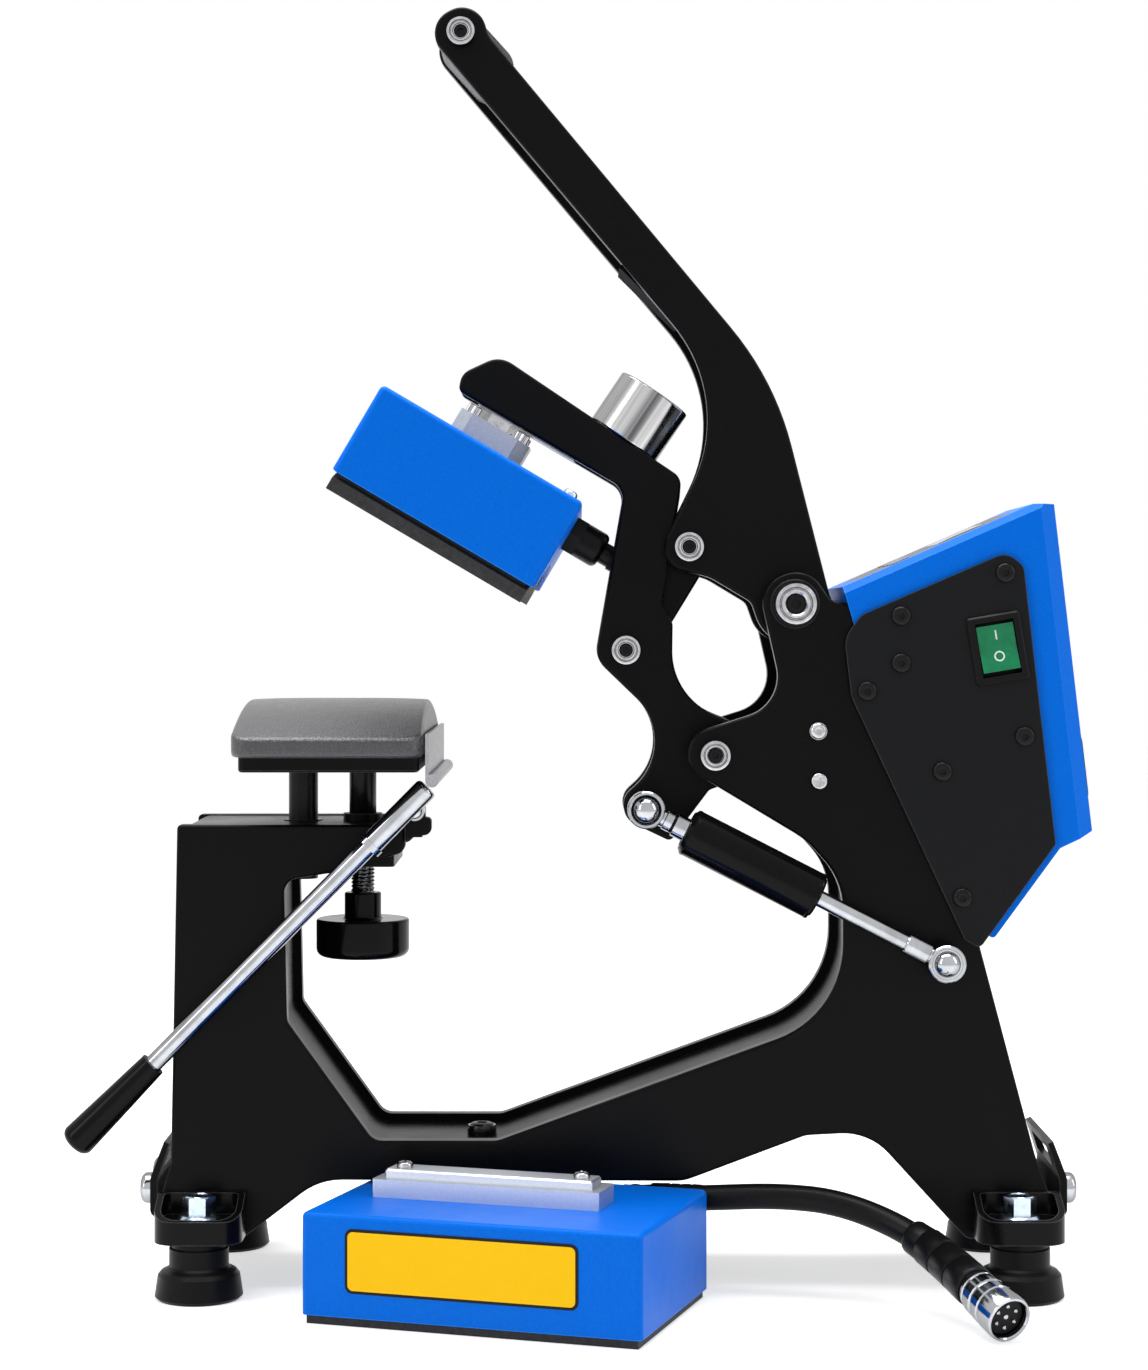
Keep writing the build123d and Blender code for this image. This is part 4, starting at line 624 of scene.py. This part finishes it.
def piece(name, shells, finish, body, crease=32.0):
    """One object from closed shells: doubles merged within reach of a pole, faces turned outwards."""
    points = np.vstack([shell[0] for shell in shells])
    starts = np.cumsum([0] + [len(shell[0]) for shell in shells[:-1]])
    faces = np.vstack([shell[1] + start for shell, start in zip(shells, starts)])
    mesh = bpy.data.meshes.new(name)
    mesh.from_pydata((points * MM).tolist(), [], faces.tolist())
    work = bmesh.new()
    work.from_mesh(mesh)
    bmesh.ops.remove_doubles(work, verts=work.verts, dist=1e-6)
    bmesh.ops.recalc_face_normals(work, faces=work.faces)
    work.to_mesh(mesh)
    work.free()
    mesh.polygons.foreach_set("use_smooth", np.ones(len(mesh.polygons), bool))
    mesh.set_sharp_from_angle(angle=math.radians(crease))
    mesh.materials.append(finish)
    made = bpy.data.objects.new(name, mesh)
    bpy.context.scene.collection.objects.link(made)
    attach(made, body)
    return made


# ---------------------------------------------------------------- the loose element's lead

def lead_curve(name):
    """The lead's line: one NURBS spline whose control points are the route's points."""
    data = bpy.data.curves.new(name, "CURVE")
    data.dimensions = "3D"
    data.resolution_u = 24
    data.render_resolution_u = 24
    spline = data.splines.new("NURBS")
    spline.points.add(len(SPARE_ROUTE) - 1)
    route = np.ones((len(SPARE_ROUTE), 4))
    route[:, :3] = np.array(SPARE_ROUTE) * MM
    spline.points.foreach_set("co", route.ravel())
    spline.order_u = 3
    spline.use_endpoint_u = True
    made = bpy.data.objects.new(name, data)
    bpy.context.scene.collection.objects.link(made)
    return made


def line_points(curve):
    """Points of a curve that has no bevel, in millimetres, in order from the gland."""
    mesh = bpy.data.meshes.new_from_object(curve)
    points = np.empty(len(mesh.vertices) * 3)
    mesh.vertices.foreach_get("co", points)
    bpy.data.meshes.remove(mesh)
    return points.reshape(-1, 3) / MM


def along_line(line, distances):
    """Points and directions of a line at distances along it."""
    steps = np.linalg.norm(np.diff(line, axis=0), axis=1)
    travelled = np.concatenate(((0,), np.cumsum(steps)))
    heading = np.gradient(line, axis=0)
    points, ways = (
        np.stack([np.interp(distances, travelled, values[:, k]) for k in range(3)], -1)
        for values in (line, heading)
    )
    return points, ways / np.linalg.norm(ways, axis=1)[:, None], travelled[-1]


def swept(line, profile, start=0.0):
    """A round skin about a line: each (distance, radius) row is a circle square to the line."""
    distances, radii = np.array(profile, float).T
    points, ways, _ = along_line(line, start + distances)
    side = np.cross(ways, (0, 0, 1))
    side /= np.linalg.norm(side, axis=1)[:, None]
    ahead = np.cross(ways, side)
    turn = np.arange(ROUND) * 2 * np.pi / ROUND
    ring = np.cos(turn)[None, :, None] * side[:, None] + np.sin(turn)[None, :, None] * ahead[:, None]
    return grid(points[:, None] + radii[:, None, None] * ring)


def connector_shells(base, way):
    """Turned coupling: a ribbed nut, a knurled ring and a rimmed mouth; then the insert and its contacts."""
    ribs = knurl(0.018)
    body = turned((
        (-1.0, 0), (-1.0, 8.0), (0.4, 8.6), (2.6, 9.0), (3.2, 8.2), (4.2, 8.2),
        (4.6, 9.7, ribs), (9.6, 9.9, ribs), (10.2, 8.9), (11.4, 8.9),
        (11.8, 10.1, ribs), (16.2, 10.2, ribs), (16.8, 9.6), (17.8, 9.6), (18.4, 10.4),
        (26.8, 10.5), (27.8, 10.2), (28.1, 9.7), (28.1, 9.2), (27.4, 8.7), (21.0, 8.6), (20.4, 0),
    ), base, way)
    insert = turned(((20.2, 0), (20.2, 8.4), (24.6, 8.4), (24.9, 8.0), (24.9, 0)), base, way)
    level = unit(np.cross(way, (0, 0, 1)))
    upright = np.cross(level, way)
    contacts = []
    for turn in np.radians(np.arange(6) * 60.0 + 90.0):
        seat = base + (math.cos(turn) * level + math.sin(turn) * upright) * 5.0
        contacts.append(turned((
            (24.7, 0), (24.7, 0.9), (25.5, 0.9), (25.7, 0.7), (25.4, 0.5), (25.4, 0),
        ), seat, way))
    contacts.append(turned(((24.7, 0), (24.7, 1.2), (25.3, 1.1), (25.5, 0.8), (25.5, 0)), base, way))
    return body, insert, contacts


# distance and radius along the lead: the ringed sleeve before the coupling, and the relief at the gland
SLEEVE_ROWS = (
    (0, 0), (0, 6.2), (0.8, 7.2), (2, 7.7), (9, 8.0), (9.6, 7.9), (10.4, 7.9), (11, 8.5), (21, 8.8),
    (21.4, 8.3), (22.2, 8.3), (22.6, 8.8), (34, 9.1), (34.3, 8.6), (35, 8.6), (35.4, 9.1), (46, 9.4),
    (47.4, 9.2), (47.9, 8.8), (47.9, 0),
)
RELIEF_ROWS = (
    (0, 0), (0, 7.3), (1, 7.5), (8, 7.2), (9, 6.7), (10, 7.0), (13, 6.8), (14, 6.4), (15, 6.7), (18, 6.5),
    (19, 6.2), (20, 6.4), (24, 6.0), (24, 0),
)


def build_lead():
    """The lead, its ringed sleeves and its coupling."""
    lead = lead_curve("spare_lead")
    line = line_points(lead)
    long = along_line(line, np.array((0.0, 1.0)))[2]
    lead.data.bevel_depth = SPARE_CABLE_R * MM
    lead.data.bevel_resolution = 12
    lead.data.use_fill_caps = True
    lead.data.materials.append(CABLE_SKIN)
    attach(lead, "spare_element")
    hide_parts("spare_cord")

    sleeve = swept(line, SLEEVE_ROWS, long - SLEEVE_LONG)
    relief = swept(line, RELIEF_ROWS)
    boot = piece("lead_sleeve", (sleeve,), CABLE_SKIN, "spare_element", crease=50.0)
    gland = piece("lead_relief", (relief,), CABLE_SKIN, "spare_element", crease=50.0)
    base = np.array(SPARE_ROUTE[-1], float)
    way = unit(base - np.array(SPARE_ROUTE[-2]))
    body, insert, contacts = connector_shells(base, way)
    shell = piece("connector_shell", (body,), CHROME, "spare_element")
    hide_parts("spare_connector")
    core = piece("connector_insert", (insert,), BLACK_MOULD, "spare_element")
    pins = piece("connector_contacts", contacts, ZINC, "spare_element")


build_lead()


# ---------------------------------------------------------------- padded cover of the platen

PAD_ROUND_IN = 2.2
PAD_ROUND_DOWN = 1.7
PAD_SIDE_HIGH = 8.4
PAD_PUFF = 0.8
PAD_CORNER_R = 8.0
PAD_STEPS = 260


def even_outline(outline, count):
    """The same closed outline with its points spread evenly along it."""
    closed = np.vstack((outline, outline[:1]))
    travelled = np.concatenate(((0,), np.cumsum(np.linalg.norm(np.diff(closed, axis=0), axis=1))))
    at = np.linspace(0, travelled[-1], count, endpoint=False)
    return np.stack([np.interp(at, travelled, closed[:, k]) for k in range(2)], -1)


def build_pad():
    """Loops of a rounded rectangle, from the middle of the base, round its edge and back over the crown.

    Each row is a height, an inset of the outline and a share of its size. The crown rises with the run
    along Y as one less its square.
    """
    low, high = (np.array(corner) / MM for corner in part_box("platen_pad"))
    middle = (low + high) / 2
    wide, long = high[0] - low[0], high[1] - low[1]
    rise = high[2] - low[2] - PAD_SIDE_HIGH - PAD_PUFF
    roll = np.linspace(0, np.pi / 2, 10)[1:]
    rows = [(0.0, 2.0, share) for share in np.linspace(0, 1, 10)]
    rows += [(0.3, 1.0, 1.0), (0.9, 0.35, 1.0), (1.8, 0.1, 1.0), (3.2, 0.0, 1.0)]
    rows += [(PAD_SIDE_HIGH - PAD_ROUND_DOWN, 0.0, 1.0)]
    rows += [
        (PAD_SIDE_HIGH - PAD_ROUND_DOWN * (1 - math.sin(t)), PAD_ROUND_IN * (1 - math.cos(t)), 1.0)
        for t in roll
    ]
    rows += [(PAD_SIDE_HIGH, PAD_ROUND_IN, share) for share in np.linspace(1, 0, 40)[1:]]
    loops = []
    for height, inset, share in rows:
        outline = rounded_rectangle(wide - 2 * inset, long - 2 * inset, max(PAD_CORNER_R - inset, 0.3), 14)
        x, y = (even_outline(outline, PAD_STEPS) * share).T
        run = np.abs(y) / (long / 2)
        raised = min(1.0, max(0.0, (height - 1.0) / (PAD_SIDE_HIGH - 1.0)))
        lift = rise * (1 - run**2) * raised
        puff = PAD_PUFF * raised * (1 - (x / (wide / 2)) ** 4) * (1 - run**4)
        loops.append(np.stack((x + middle[0], y + middle[1], low[2] + height + lift + puff), -1))
    pad = piece("padded_cover", (grid(loops),), PAD_SKIN, "platen", crease=80.0)
    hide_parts("platen_pad")


build_pad()


# ---------------------------------------------------------------- bolts

NEAR = np.array((0.0, -1.0, 0.0))
HEAD_PROUD = 1.2


def pivot_cap(point, face, radius, high):
    """A dished bright ring on a bolt's head, and the dark socket screw in its middle."""
    base = (point[0], -face, point[1])
    top = high + HEAD_PROUD
    outer = radius + 0.3
    ring = turned((
        (0.05, 0), (0.05, outer), (top - 0.5, outer), (top - 0.15, outer - 0.15), (top, outer - 0.5),
        (top - 0.05, 0.84 * radius), (top - 0.9, 0.79 * radius), (top - 0.9, 0.76 * radius),
        (top - 0.3, 0.72 * radius), (top - 0.3, 0.6 * radius), (top - 0.7, 0.55 * radius),
        (0.45 * high, 0.53 * radius), (0.45 * high, 0),
    ), base, NEAR)
    screw = turned((
        (0.47 * high, 0), (0.47 * high, 0.5 * radius), (top - 2.2, 0.5 * radius), (top - 1.7, 0.44 * radius),
        (top - 1.6, 0.3 * radius), (top - 1.6, 0.26 * radius, HEX),
        (0.6 * high, 0.26 * radius, HEX), (0.6 * high, 0),
    ), base, NEAR)
    return ring, screw


for name, point, face, radius, high, body in (
    ("lever_pivot", LEVER_PIVOT, FRAME_OUT, 9.2, 8.0, "frame"),
    ("arm_pivot", ARM_PIVOT, FRAME_OUT, 6.6, 7.0, "frame"),
    ("toggle", TOGGLE_PIVOT, LEVER_OUT, 6.5, 6.0, "lever"),
    ("grip", GRIP_POINT, LEVER_OUT, 6.3, 5.0, "lever"),
    ("link", LINK_PIVOT, ARM_OUT, 6.5, 5.0, "arm"),
):
    ring, screw = pivot_cap(point, face, radius, high)
    piece(f"{name}_cap", (ring,), ZINC, body)
    piece(f"{name}_socket", (screw,), OXIDE, body)

seat = turned((
    (-0.5, 0), (-0.5, 11.6), (0.9, 11.4), (1.3, 10.9), (1.3, 9.9), (0.8, 9.6), (0.8, 0),
), (LEVER_PIVOT[0], -FRAME_OUT, LEVER_PIVOT[1]), NEAR)
piece("lever_pivot_seat", (seat,), BLACK_COAT, "frame")


def screw_head(base, axis, radius, high, socket, form=HEX, foot=-0.3):
    """A domed head: its profile is a flattened quarter circle, with a recess cut in the middle."""
    roll = np.linspace(0.15, 1.0, 6) * np.pi / 2
    rim = 0.3 * high
    lip = 1.25 * socket
    dome = [(rim + high * 0.7 * math.sin(t), lip + (radius - lip) * math.cos(t)) for t in roll]
    return turned((
        (foot, 0), (foot, radius), (rim, radius), *dome, (high, socket * 1.12), (high - 0.15, socket, form),
        (0.35 * high, socket, form), (0.35 * high, 0),
    ), base, axis)


def screw_row(name, places, axis, radius, high, socket, finish, body, form=HEX, foot=-0.3):
    """One piece for a row of like screw heads."""
    shells = [screw_head(np.array(place, float), axis, radius, high, socket, form, foot) for place in places]
    return piece(name, shells, finish, body)


TIE_HEAD_R = 4.15
TIE_HEAD_HIGH = 3.4
upper, lower = (
    screw_head((x, -FRAME_OUT, z), NEAR, TIE_HEAD_R, TIE_HEAD_HIGH, socket, form)
    for (x, z), socket, form in zip(TIE_POINTS, (1.5, 2.3), (HEX, CROSS))
)
piece("tie_screw_heads", (upper, lower), ZINC, "frame")

SHEET_SCREWS = (
    (195.0, 329.9), (147.2, 310.1), (147.2, 288.5), (131.6, 275.6),
    (203.8, 254.9), (166.1, 238.8), (175.3, 180.9),
)
for side, out in (("near", -1), ("far", 1)):
    places = [(x, out * SIDE_SHEET_OUT, z) for x, z in SHEET_SCREWS]
    screw_row(f"sheet_screws_{side}", places, (0, out, 0), 4.5, 2.2, 1.7, OXIDE, "frame")

WEB_SCREW = (-46.5, 0.0, 64.6)
screw_row("web_screw", [WEB_SCREW], UP, 6.9, 5.6, 2.8, OXIDE, "frame", foot=0.1)

STRAP_FRONT = -199.0
STRAP_REAR = 225.5
STRAP_THICK = 1.8
STRAP_BOLT_OUT = 20
STRAP_BOLT_UP = 43.0
for name, x, way in (("front", STRAP_FRONT, -1), ("rear", STRAP_REAR, 1)):
    places = [(x + way * STRAP_THICK, y, STRAP_BOLT_UP) for y in (-STRAP_BOLT_OUT, STRAP_BOLT_OUT)]
    screw_row(
        f"strap_bolts_{name}", places, (way, 0, 0), 7.2, 4.4, 2.6, CHROME, "frame",
        foot=-STRAP_THICK,
    )

FOOT_TOP_ROWS = ((-0.6, 0), (-0.6, 6.5), (0.15, 6.35), (0.5, 5.9), (0.5, 5.2), (0.1, 4.7), (0.1, 0))
FOOT_FLANGE_ROWS = ((0, 0), (0, 9.4), (0.6, 9.5), (1.5, 8.8), (2.2, 7.9), (2.4, 0))
for name, rows, base in (
    ("foot_bolt_tops", FOOT_TOP_ROWS, FOOT_BOLT_TOP),
    ("foot_bolt_flanges", FOOT_FLANGE_ROWS, FOOT_FLANGE_BASE),
):
    piece(name, [turned(rows, (x, y, base), UP) for x, y in FEET], BLUE_ZINC, "frame")


# ---------------------------------------------------------------- gas spring ends

EYE_WIDE = 8.4
EYE_INNER_R = 6.5
EYE_OUTER_R = 8.55
BALL_R = 6.3
BALL_PROUD = 2.2


def ring_joint(centre):
    """A closed ring about Y: its section is a rectangle with broken corners."""
    half = EYE_WIDE / 2
    inner, outer = EYE_INNER_R, EYE_OUTER_R
    rows = (
        (-half + 0.5, outer), (half - 0.5, outer), (half, outer - 0.5), (half, inner + 0.6),
        (half - 0.6, inner), (-half + 0.6, inner), (-half, inner + 0.6), (-half, outer - 0.5),
        (-half + 0.5, outer),
    )
    return turned(rows, (centre[0], SPRING_Y, centre[1]), NEAR)


def ball(centre):
    """A sphere turned about Y, so that its poles face the near side."""
    roll = np.linspace(0, np.pi, 25)
    rows = [(-BALL_R * math.cos(t), BALL_R * math.sin(t)) for t in roll]
    return turned(rows, (centre[0], SPRING_Y - BALL_PROUD, centre[1]), NEAR)


SPRING_WAY = unit((SPRING_REAR[0] - SPRING_FRONT[0], 0, SPRING_REAR[1] - SPRING_FRONT[1]))
front_eye = (SPRING_FRONT[0], SPRING_Y, SPRING_FRONT[1])
neck = turned((
    (7.6, 0), (7.6, 3.9), (9.4, 4.0), (9.8, 4.6), (13.2, 4.6), (13.6, 4.2), (14.2, 4.2), (14.6, 5.4),
    (20.3, 5.5), (20.5, 0),
), front_eye, SPRING_WAY)
piece("spring_neck_front", (ring_joint(SPRING_FRONT), neck), CHROME, "spring_tube")
piece("spring_ball_front", (ball(SPRING_FRONT),), CHROME, "arm")
rear_eye = (SPRING_REAR[0], SPRING_Y, SPRING_REAR[1])
rear_neck = turned((
    (7.6, 0), (7.6, 4.0), (9.0, 4.2), (9.4, 5.1), (20.4, 5.1), (21.0, 4.6), (21.0, 0),
), rear_eye, -SPRING_WAY)
piece("spring_neck_rear", (ring_joint(SPRING_REAR), rear_neck), CHROME, "spring_rod")
piece("spring_ball_rear", (ball(SPRING_REAR),), CHROME, "frame")
TUBE_LIPS = (22.5, 85.4)
LIP_ROWS = ((-0.8, 0), (-0.8, 10.4), (0, 11.15), (1.0, 11.15), (1.5, 11.0), (1.5, 0))
lips = [
    turned([(start + along, radius) for along, radius in LIP_ROWS], front_eye, SPRING_WAY)
    for start in TUBE_LIPS
]
piece("spring_tube_lips", lips, GLOSS_BLACK, "spring_tube")


# ---------------------------------------------------------------- spindle thread and hold-down pin

def thread(crest, pitch, depth, base, long):
    """A screw thread: the crest less its depth times a triangle wave of height over pitch less the turn."""
    rows = int(long / pitch * 10)
    height = np.linspace(0, long, rows)[:, None]
    turn = np.arange(ROUND)[None, :] / ROUND
    wave = 1 - np.abs(np.mod(height / pitch - turn, 1.0) - 0.5) * 2
    reach = crest - depth * wave
    angle = turn * 2 * np.pi
    points = np.stack((
        base[0] + reach * np.cos(angle),
        base[1] + reach * np.sin(angle),
        base[2] + np.broadcast_to(height, reach.shape),
    ), -1)
    ends = [np.broadcast_to(points[k].mean(axis=0), points[k].shape) for k in (0, -1)]
    return grid([ends[0], *points, ends[1]])


THREAD_FOOT = 176.0
THREAD_R = 5.7
THREAD_PITCH = 1.75
THREAD_DEPTH = 0.75
JOURNAL_BASE = 208.5
JOURNAL_R = 6.4
spindle_low, spindle_high = (corner[2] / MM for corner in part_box("spindle"))
shank_long = THREAD_FOOT - spindle_low
journal_long = spindle_high - JOURNAL_BASE
shank = turned((
    (0, 0), (0, THREAD_R), (shank_long, THREAD_R), (shank_long, 0),
), (SPINDLE_X, 0, spindle_low), UP)
cut = thread(THREAD_R, THREAD_PITCH, THREAD_DEPTH, (SPINDLE_X, 0, THREAD_FOOT), JOURNAL_BASE - THREAD_FOOT)
journal = turned((
    (0, 0), (0, JOURNAL_R - 0.3), (0.3, JOURNAL_R), (journal_long, JOURNAL_R), (journal_long, 0),
), (SPINDLE_X, 0, JOURNAL_BASE), UP)
screw = piece("spindle_turned", (shank, journal), OXIDE, "height_screw", 50.0)
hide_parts("spindle")
piece("spindle_thread", (cut,), THREAD_STEEL, "height_screw", 50.0)
pin = turned((
    (-0.4, 0), (-0.4, 3.4), (1.2, 3.4), (1.9, 2.9), (2.2, 1.8), (2.3, 0),
), (HOLD_PIVOT[0], HOLD_Y, HOLD_PIVOT[1]), NEAR)
piece("hold_down_pin_head", (pin,), CHROME, "frame")


# ---------------------------------------------------------------- mounted element: cap screws and edge screws

ELEMENT_ALONG = (math.cos(ELEMENT_TILT), 0, -math.sin(ELEMENT_TILT))
ELEMENT_UP = (math.sin(ELEMENT_TILT), 0, math.cos(ELEMENT_TILT))
on_element = placed(ELEMENT_TOP, ELEMENT_ALONG, ELEMENT_UP)
UP_ELEMENT = unit(ELEMENT_UP)


def cap_screw(base, axis):
    """A cylinder head with a knurled side and a hexagon socket."""
    ribs = knurl(0.06)
    return turned((
        (-0.3, 0), (-0.3, 3.5, ribs), (3.6, 3.5, ribs), (4.0, 3.1), (4.0, 1.9), (3.8, 1.6, HEX),
        (1.6, 1.6, HEX), (1.6, 0),
    ), base, axis)


ADAPTER_SCREWS = [(x, y) for x in (-13.0, 13.0) for y in (-13.2, 13.2)]
EDGE_SCREW_X = 47.5
EDGE_SCREW_OUT = 62.0
caps = [cap_screw(on_element(x, y, ADAPTER_HIGH), UP_ELEMENT) for x, y in ADAPTER_SCREWS]
piece("adapter_screws", caps, ZINC, "arm")
flange = turned((
    (0, 0), (0, 8.8), (0.5, 9.2), (1.4, 9.2), (1.8, 8.8), (1.8, 0),
), on_element(0, 0, ADAPTER_HIGH - 0.2), UP_ELEMENT)
piece("adapter_flange", (flange,), ZINC, "arm")
edge_places = [on_element(EDGE_SCREW_X, y, 0.0) for y in (-EDGE_SCREW_OUT, EDGE_SCREW_OUT)]
screw_row("element_edge_screws", edge_places, UP_ELEMENT, 3.3, 2.6, 1.3, BLUE_ZINC, "arm")


# ---------------------------------------------------------------- loose element: rail screws and bare plate

spare_x = np.array((math.cos(SPARE_TURN), math.sin(SPARE_TURN), 0.0))
spare_y = np.array((-math.sin(SPARE_TURN), math.cos(SPARE_TURN), 0.0))
spare_front = np.array((*SPARE_CORNER, 0.0)) - spare_x * SPARE_LONG - spare_y * SPARE_DEEP
RAIL_MIDDLE = 70.5
RAIL_TOP = 61.0
RAIL_SCREW_OUT = 42
rail_places = [
    spare_front + spare_x * (RAIL_MIDDLE + along) + spare_y * SPARE_DEEP / 2 + np.array((0, 0, RAIL_TOP))
    for along in (-RAIL_SCREW_OUT, RAIL_SCREW_OUT)
]
screw_row("rail_screws", rail_places, UP, 3.7, 2.6, 1.7, ZINC, "spare_element", CROSS)

PLATE_MIDDLE = (74.5, 28.9)
PLATE_SIZE = (107.0, 28.2)
PLATE_CORNER_R = 3.4
BORDER_WIDE = 1.3
plate_at = spare_front + spare_x * PLATE_MIDDLE[0] + np.array((0, 0, PLATE_MIDDLE[1]))
on_front = placed(plate_at, spare_x, -spare_y)
border = plaque(*PLATE_SIZE, PLATE_CORNER_R, ((-0.2, 0), (0.25, 0), (0.34, 0.1)), on_front)
field_size = [side - 2 * BORDER_WIDE for side in PLATE_SIZE]
field = plaque(*field_size, PLATE_CORNER_R - 1.0, ((0.1, 0), (0.4, 0), (0.46, 0.08)), on_front)
piece("bare_plate_border", (border,), LABEL_BLACK, "spare_element")
piece("bare_plate_field", (field,), LABEL_YELLOW, "spare_element")


# ---------------------------------------------------------------- controller: rocker marks, display and keys

on_switch = placed(SWITCH_AT, (math.cos(SWITCH_TURN), 0, math.sin(SWITCH_TURN)), (0, -1, 0))
ROCKER_UP = (1.2, 10.95, 1.6)
ROCKER_DOWN = (1.2, 10.35, 3.4)


def rocker_place(run):
    """A local frame on the rocker's face, at a run along it: its height follows the two straight slopes."""
    near, reach, far = ROCKER_UP if run > 0 else ROCKER_DOWN
    slope = (far - near) / reach
    height = near + slope * abs(run)
    lean = math.atan(slope) * (1 if run > 0 else -1)
    up = on_switch(0, 0, 1) - on_switch(0, 0, 0)
    tall = on_switch(0, 1, 0) - on_switch(0, 0, 0)
    across = on_switch(1, 0, 0) - on_switch(0, 0, 0)
    face = up * math.cos(lean) - tall * math.sin(lean)
    return placed(on_switch(0, run, height), across, face), on_switch(0, run, height), face


BAR_RUN = 6.3
CIRCLE_RUN = -3.6
bar_place, _, _ = rocker_place(BAR_RUN)
bar = plaque(0.7, 4.4, 0.3, ((-0.2, 0), (0.12, 0), (0.16, 0.05)), bar_place)
_, ring_at, ring_way = rocker_place(CIRCLE_RUN)
circle = turned(((-0.2, 1.75), (-0.2, 2.45), (0.14, 2.45), (0.14, 1.75), (-0.2, 1.75)), ring_at, ring_way)
piece("rocker_marks", (bar, circle), WHITE_PRINT, "switch")

PANEL_ALONG = (math.cos(PANEL_SLOPE), 0, math.sin(PANEL_SLOPE))
PANEL_UP = (-math.sin(PANEL_SLOPE), 0, math.cos(PANEL_SLOPE))
on_panel = placed(PANEL_MIDDLE, PANEL_ALONG, PANEL_UP)


def panel_spot(x, y):
    """A local frame on the control panel."""
    return placed(on_panel(x, y, 0), PANEL_ALONG, PANEL_UP)


WINDOW_X = 14.0
KEYS_X = -18.0
KEY_ROWS = ((-0.3, 0), (0.25, 0), (0.38, 0.2), (0.42, 0.8))
window = plaque(24.0, 50.0, 2.0, ((-0.3, 0), (0.1, 0), (0.2, 0.2)), panel_spot(WINDOW_X, 0.0))
piece("display_window", (window,), DISPLAY_GLASS, "frame")
keys = [plaque(10.0, 12.0, 2.5, KEY_ROWS, panel_spot(KEYS_X, y)) for y in (-24, -8, 8, 24)]
piece("panel_keys", keys, KEY_GREY, "frame")


# ---------------------------------------------------------------- camera, lamps and room

CAMERA_AT = (0, -1.376, 0.306)


def aim_camera():
    """The camera stands level in front of the near side; its view is shifted to frame the press."""
    focal_px = 2900.0
    image_px = (1148, 1370)
    centre_px = (580, 625)
    data = bpy.data.cameras.new("camera")
    data.sensor_width = 36.0
    data.lens = focal_px / image_px[1] * data.sensor_width
    data.shift_x = (image_px[0] / 2 - centre_px[0]) / image_px[1]
    data.shift_y = (centre_px[1] - image_px[1] / 2) / image_px[1]
    camera = bpy.data.objects.new("camera", data)
    camera.location = CAMERA_AT
    camera.rotation_euler = (math.radians(90), 0, 0)
    bpy.context.scene.collection.objects.link(camera)
    bpy.context.scene.camera = camera


def soft_lamp(name, place, target, size, power):
    """A rectangular area lamp that looks at a point."""
    data = bpy.data.lights.new(name, "AREA")
    data.shape = "RECTANGLE"
    data.size, data.size_y = size
    data.energy = power
    lamp = bpy.data.objects.new(name, data)
    lamp.location = place
    away = np.array(target, float) - np.array(place, float)
    flat = math.hypot(away[0], away[1])
    lamp.rotation_euler = (math.atan2(flat, -away[2]), 0, math.atan2(away[1], away[0]) - math.pi / 2)
    bpy.context.scene.collection.objects.link(lamp)


def seen_share(hand):
    """One for what the camera, a polished surface or a clear one looks at, and nought for other light."""
    path = hand.node("ShaderNodeLightPath")
    looked = hand.maths("MAXIMUM", path.outputs["Is Camera Ray"], path.outputs["Is Glossy Ray"])
    return hand.maths("MAXIMUM", looked, path.outputs["Is Transmission Ray"])


ROOM_LIGHT = 0.5
FLOOR_LIFT = 0.55
FLOOR_HALF = 6.0


def light_room():
    """A world that looks white and lights the press softly from all sides."""
    world = bpy.data.worlds.new("room")
    bpy.context.scene.world = world
    world.use_nodes = True
    hand = Shades(world.node_tree)
    shown = world.node_tree.nodes["Background"]
    shown.inputs["Color"].default_value = (1, 1, 1, 1)
    hand.link(hand.maths("MAXIMUM", seen_share(hand), ROOM_LIGHT), shown.inputs["Strength"])


def lay_floor():
    """A pale floor that looks white and keeps the soft shadow under the feet."""
    corners = [(x * FLOOR_HALF, y * FLOOR_HALF, 0) for x, y in ((-1, -1), (1, -1), (1, 1), (-1, 1))]
    mesh = bpy.data.meshes.new("floor")
    mesh.from_pydata(corners, [], [(0, 1, 2, 3)])
    made, hand, skin, _ = start_material("floor_white")
    skin.inputs["Base Color"].default_value = (0.84, 0.84, 0.84, 1)
    skin.inputs["Roughness"].default_value = 0.9
    skin.inputs["Specular IOR Level"].default_value = 0.1
    skin.inputs["Emission Color"].default_value = (1, 1, 1, 1)
    hand.link(hand.maths("MULTIPLY", seen_share(hand), FLOOR_LIFT), skin.inputs["Emission Strength"])
    mesh.materials.append(made)
    floor = bpy.data.objects.new("floor", mesh)
    bpy.context.scene.collection.objects.link(floor)
    floor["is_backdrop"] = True


bpy.context.scene.view_settings.view_transform = "Standard"
aim_camera()
light_room()
lay_floor()
soft_lamp("overhead_lamp", place=(-0.1, 0.0, 1.5), target=(0, 0, 0.25), size=(0.7, 1.4), power=26.0)
soft_lamp("left_lamp", place=(-1.4, -0.9, 0.9), target=(0, 0, 0.3), size=(0.35, 1.2), power=5.0)
soft_lamp("right_lamp", place=(1.5, -0.4, 0.9), target=(0, 0, 0.3), size=(0.35, 1.2), power=5.0)

low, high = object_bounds()
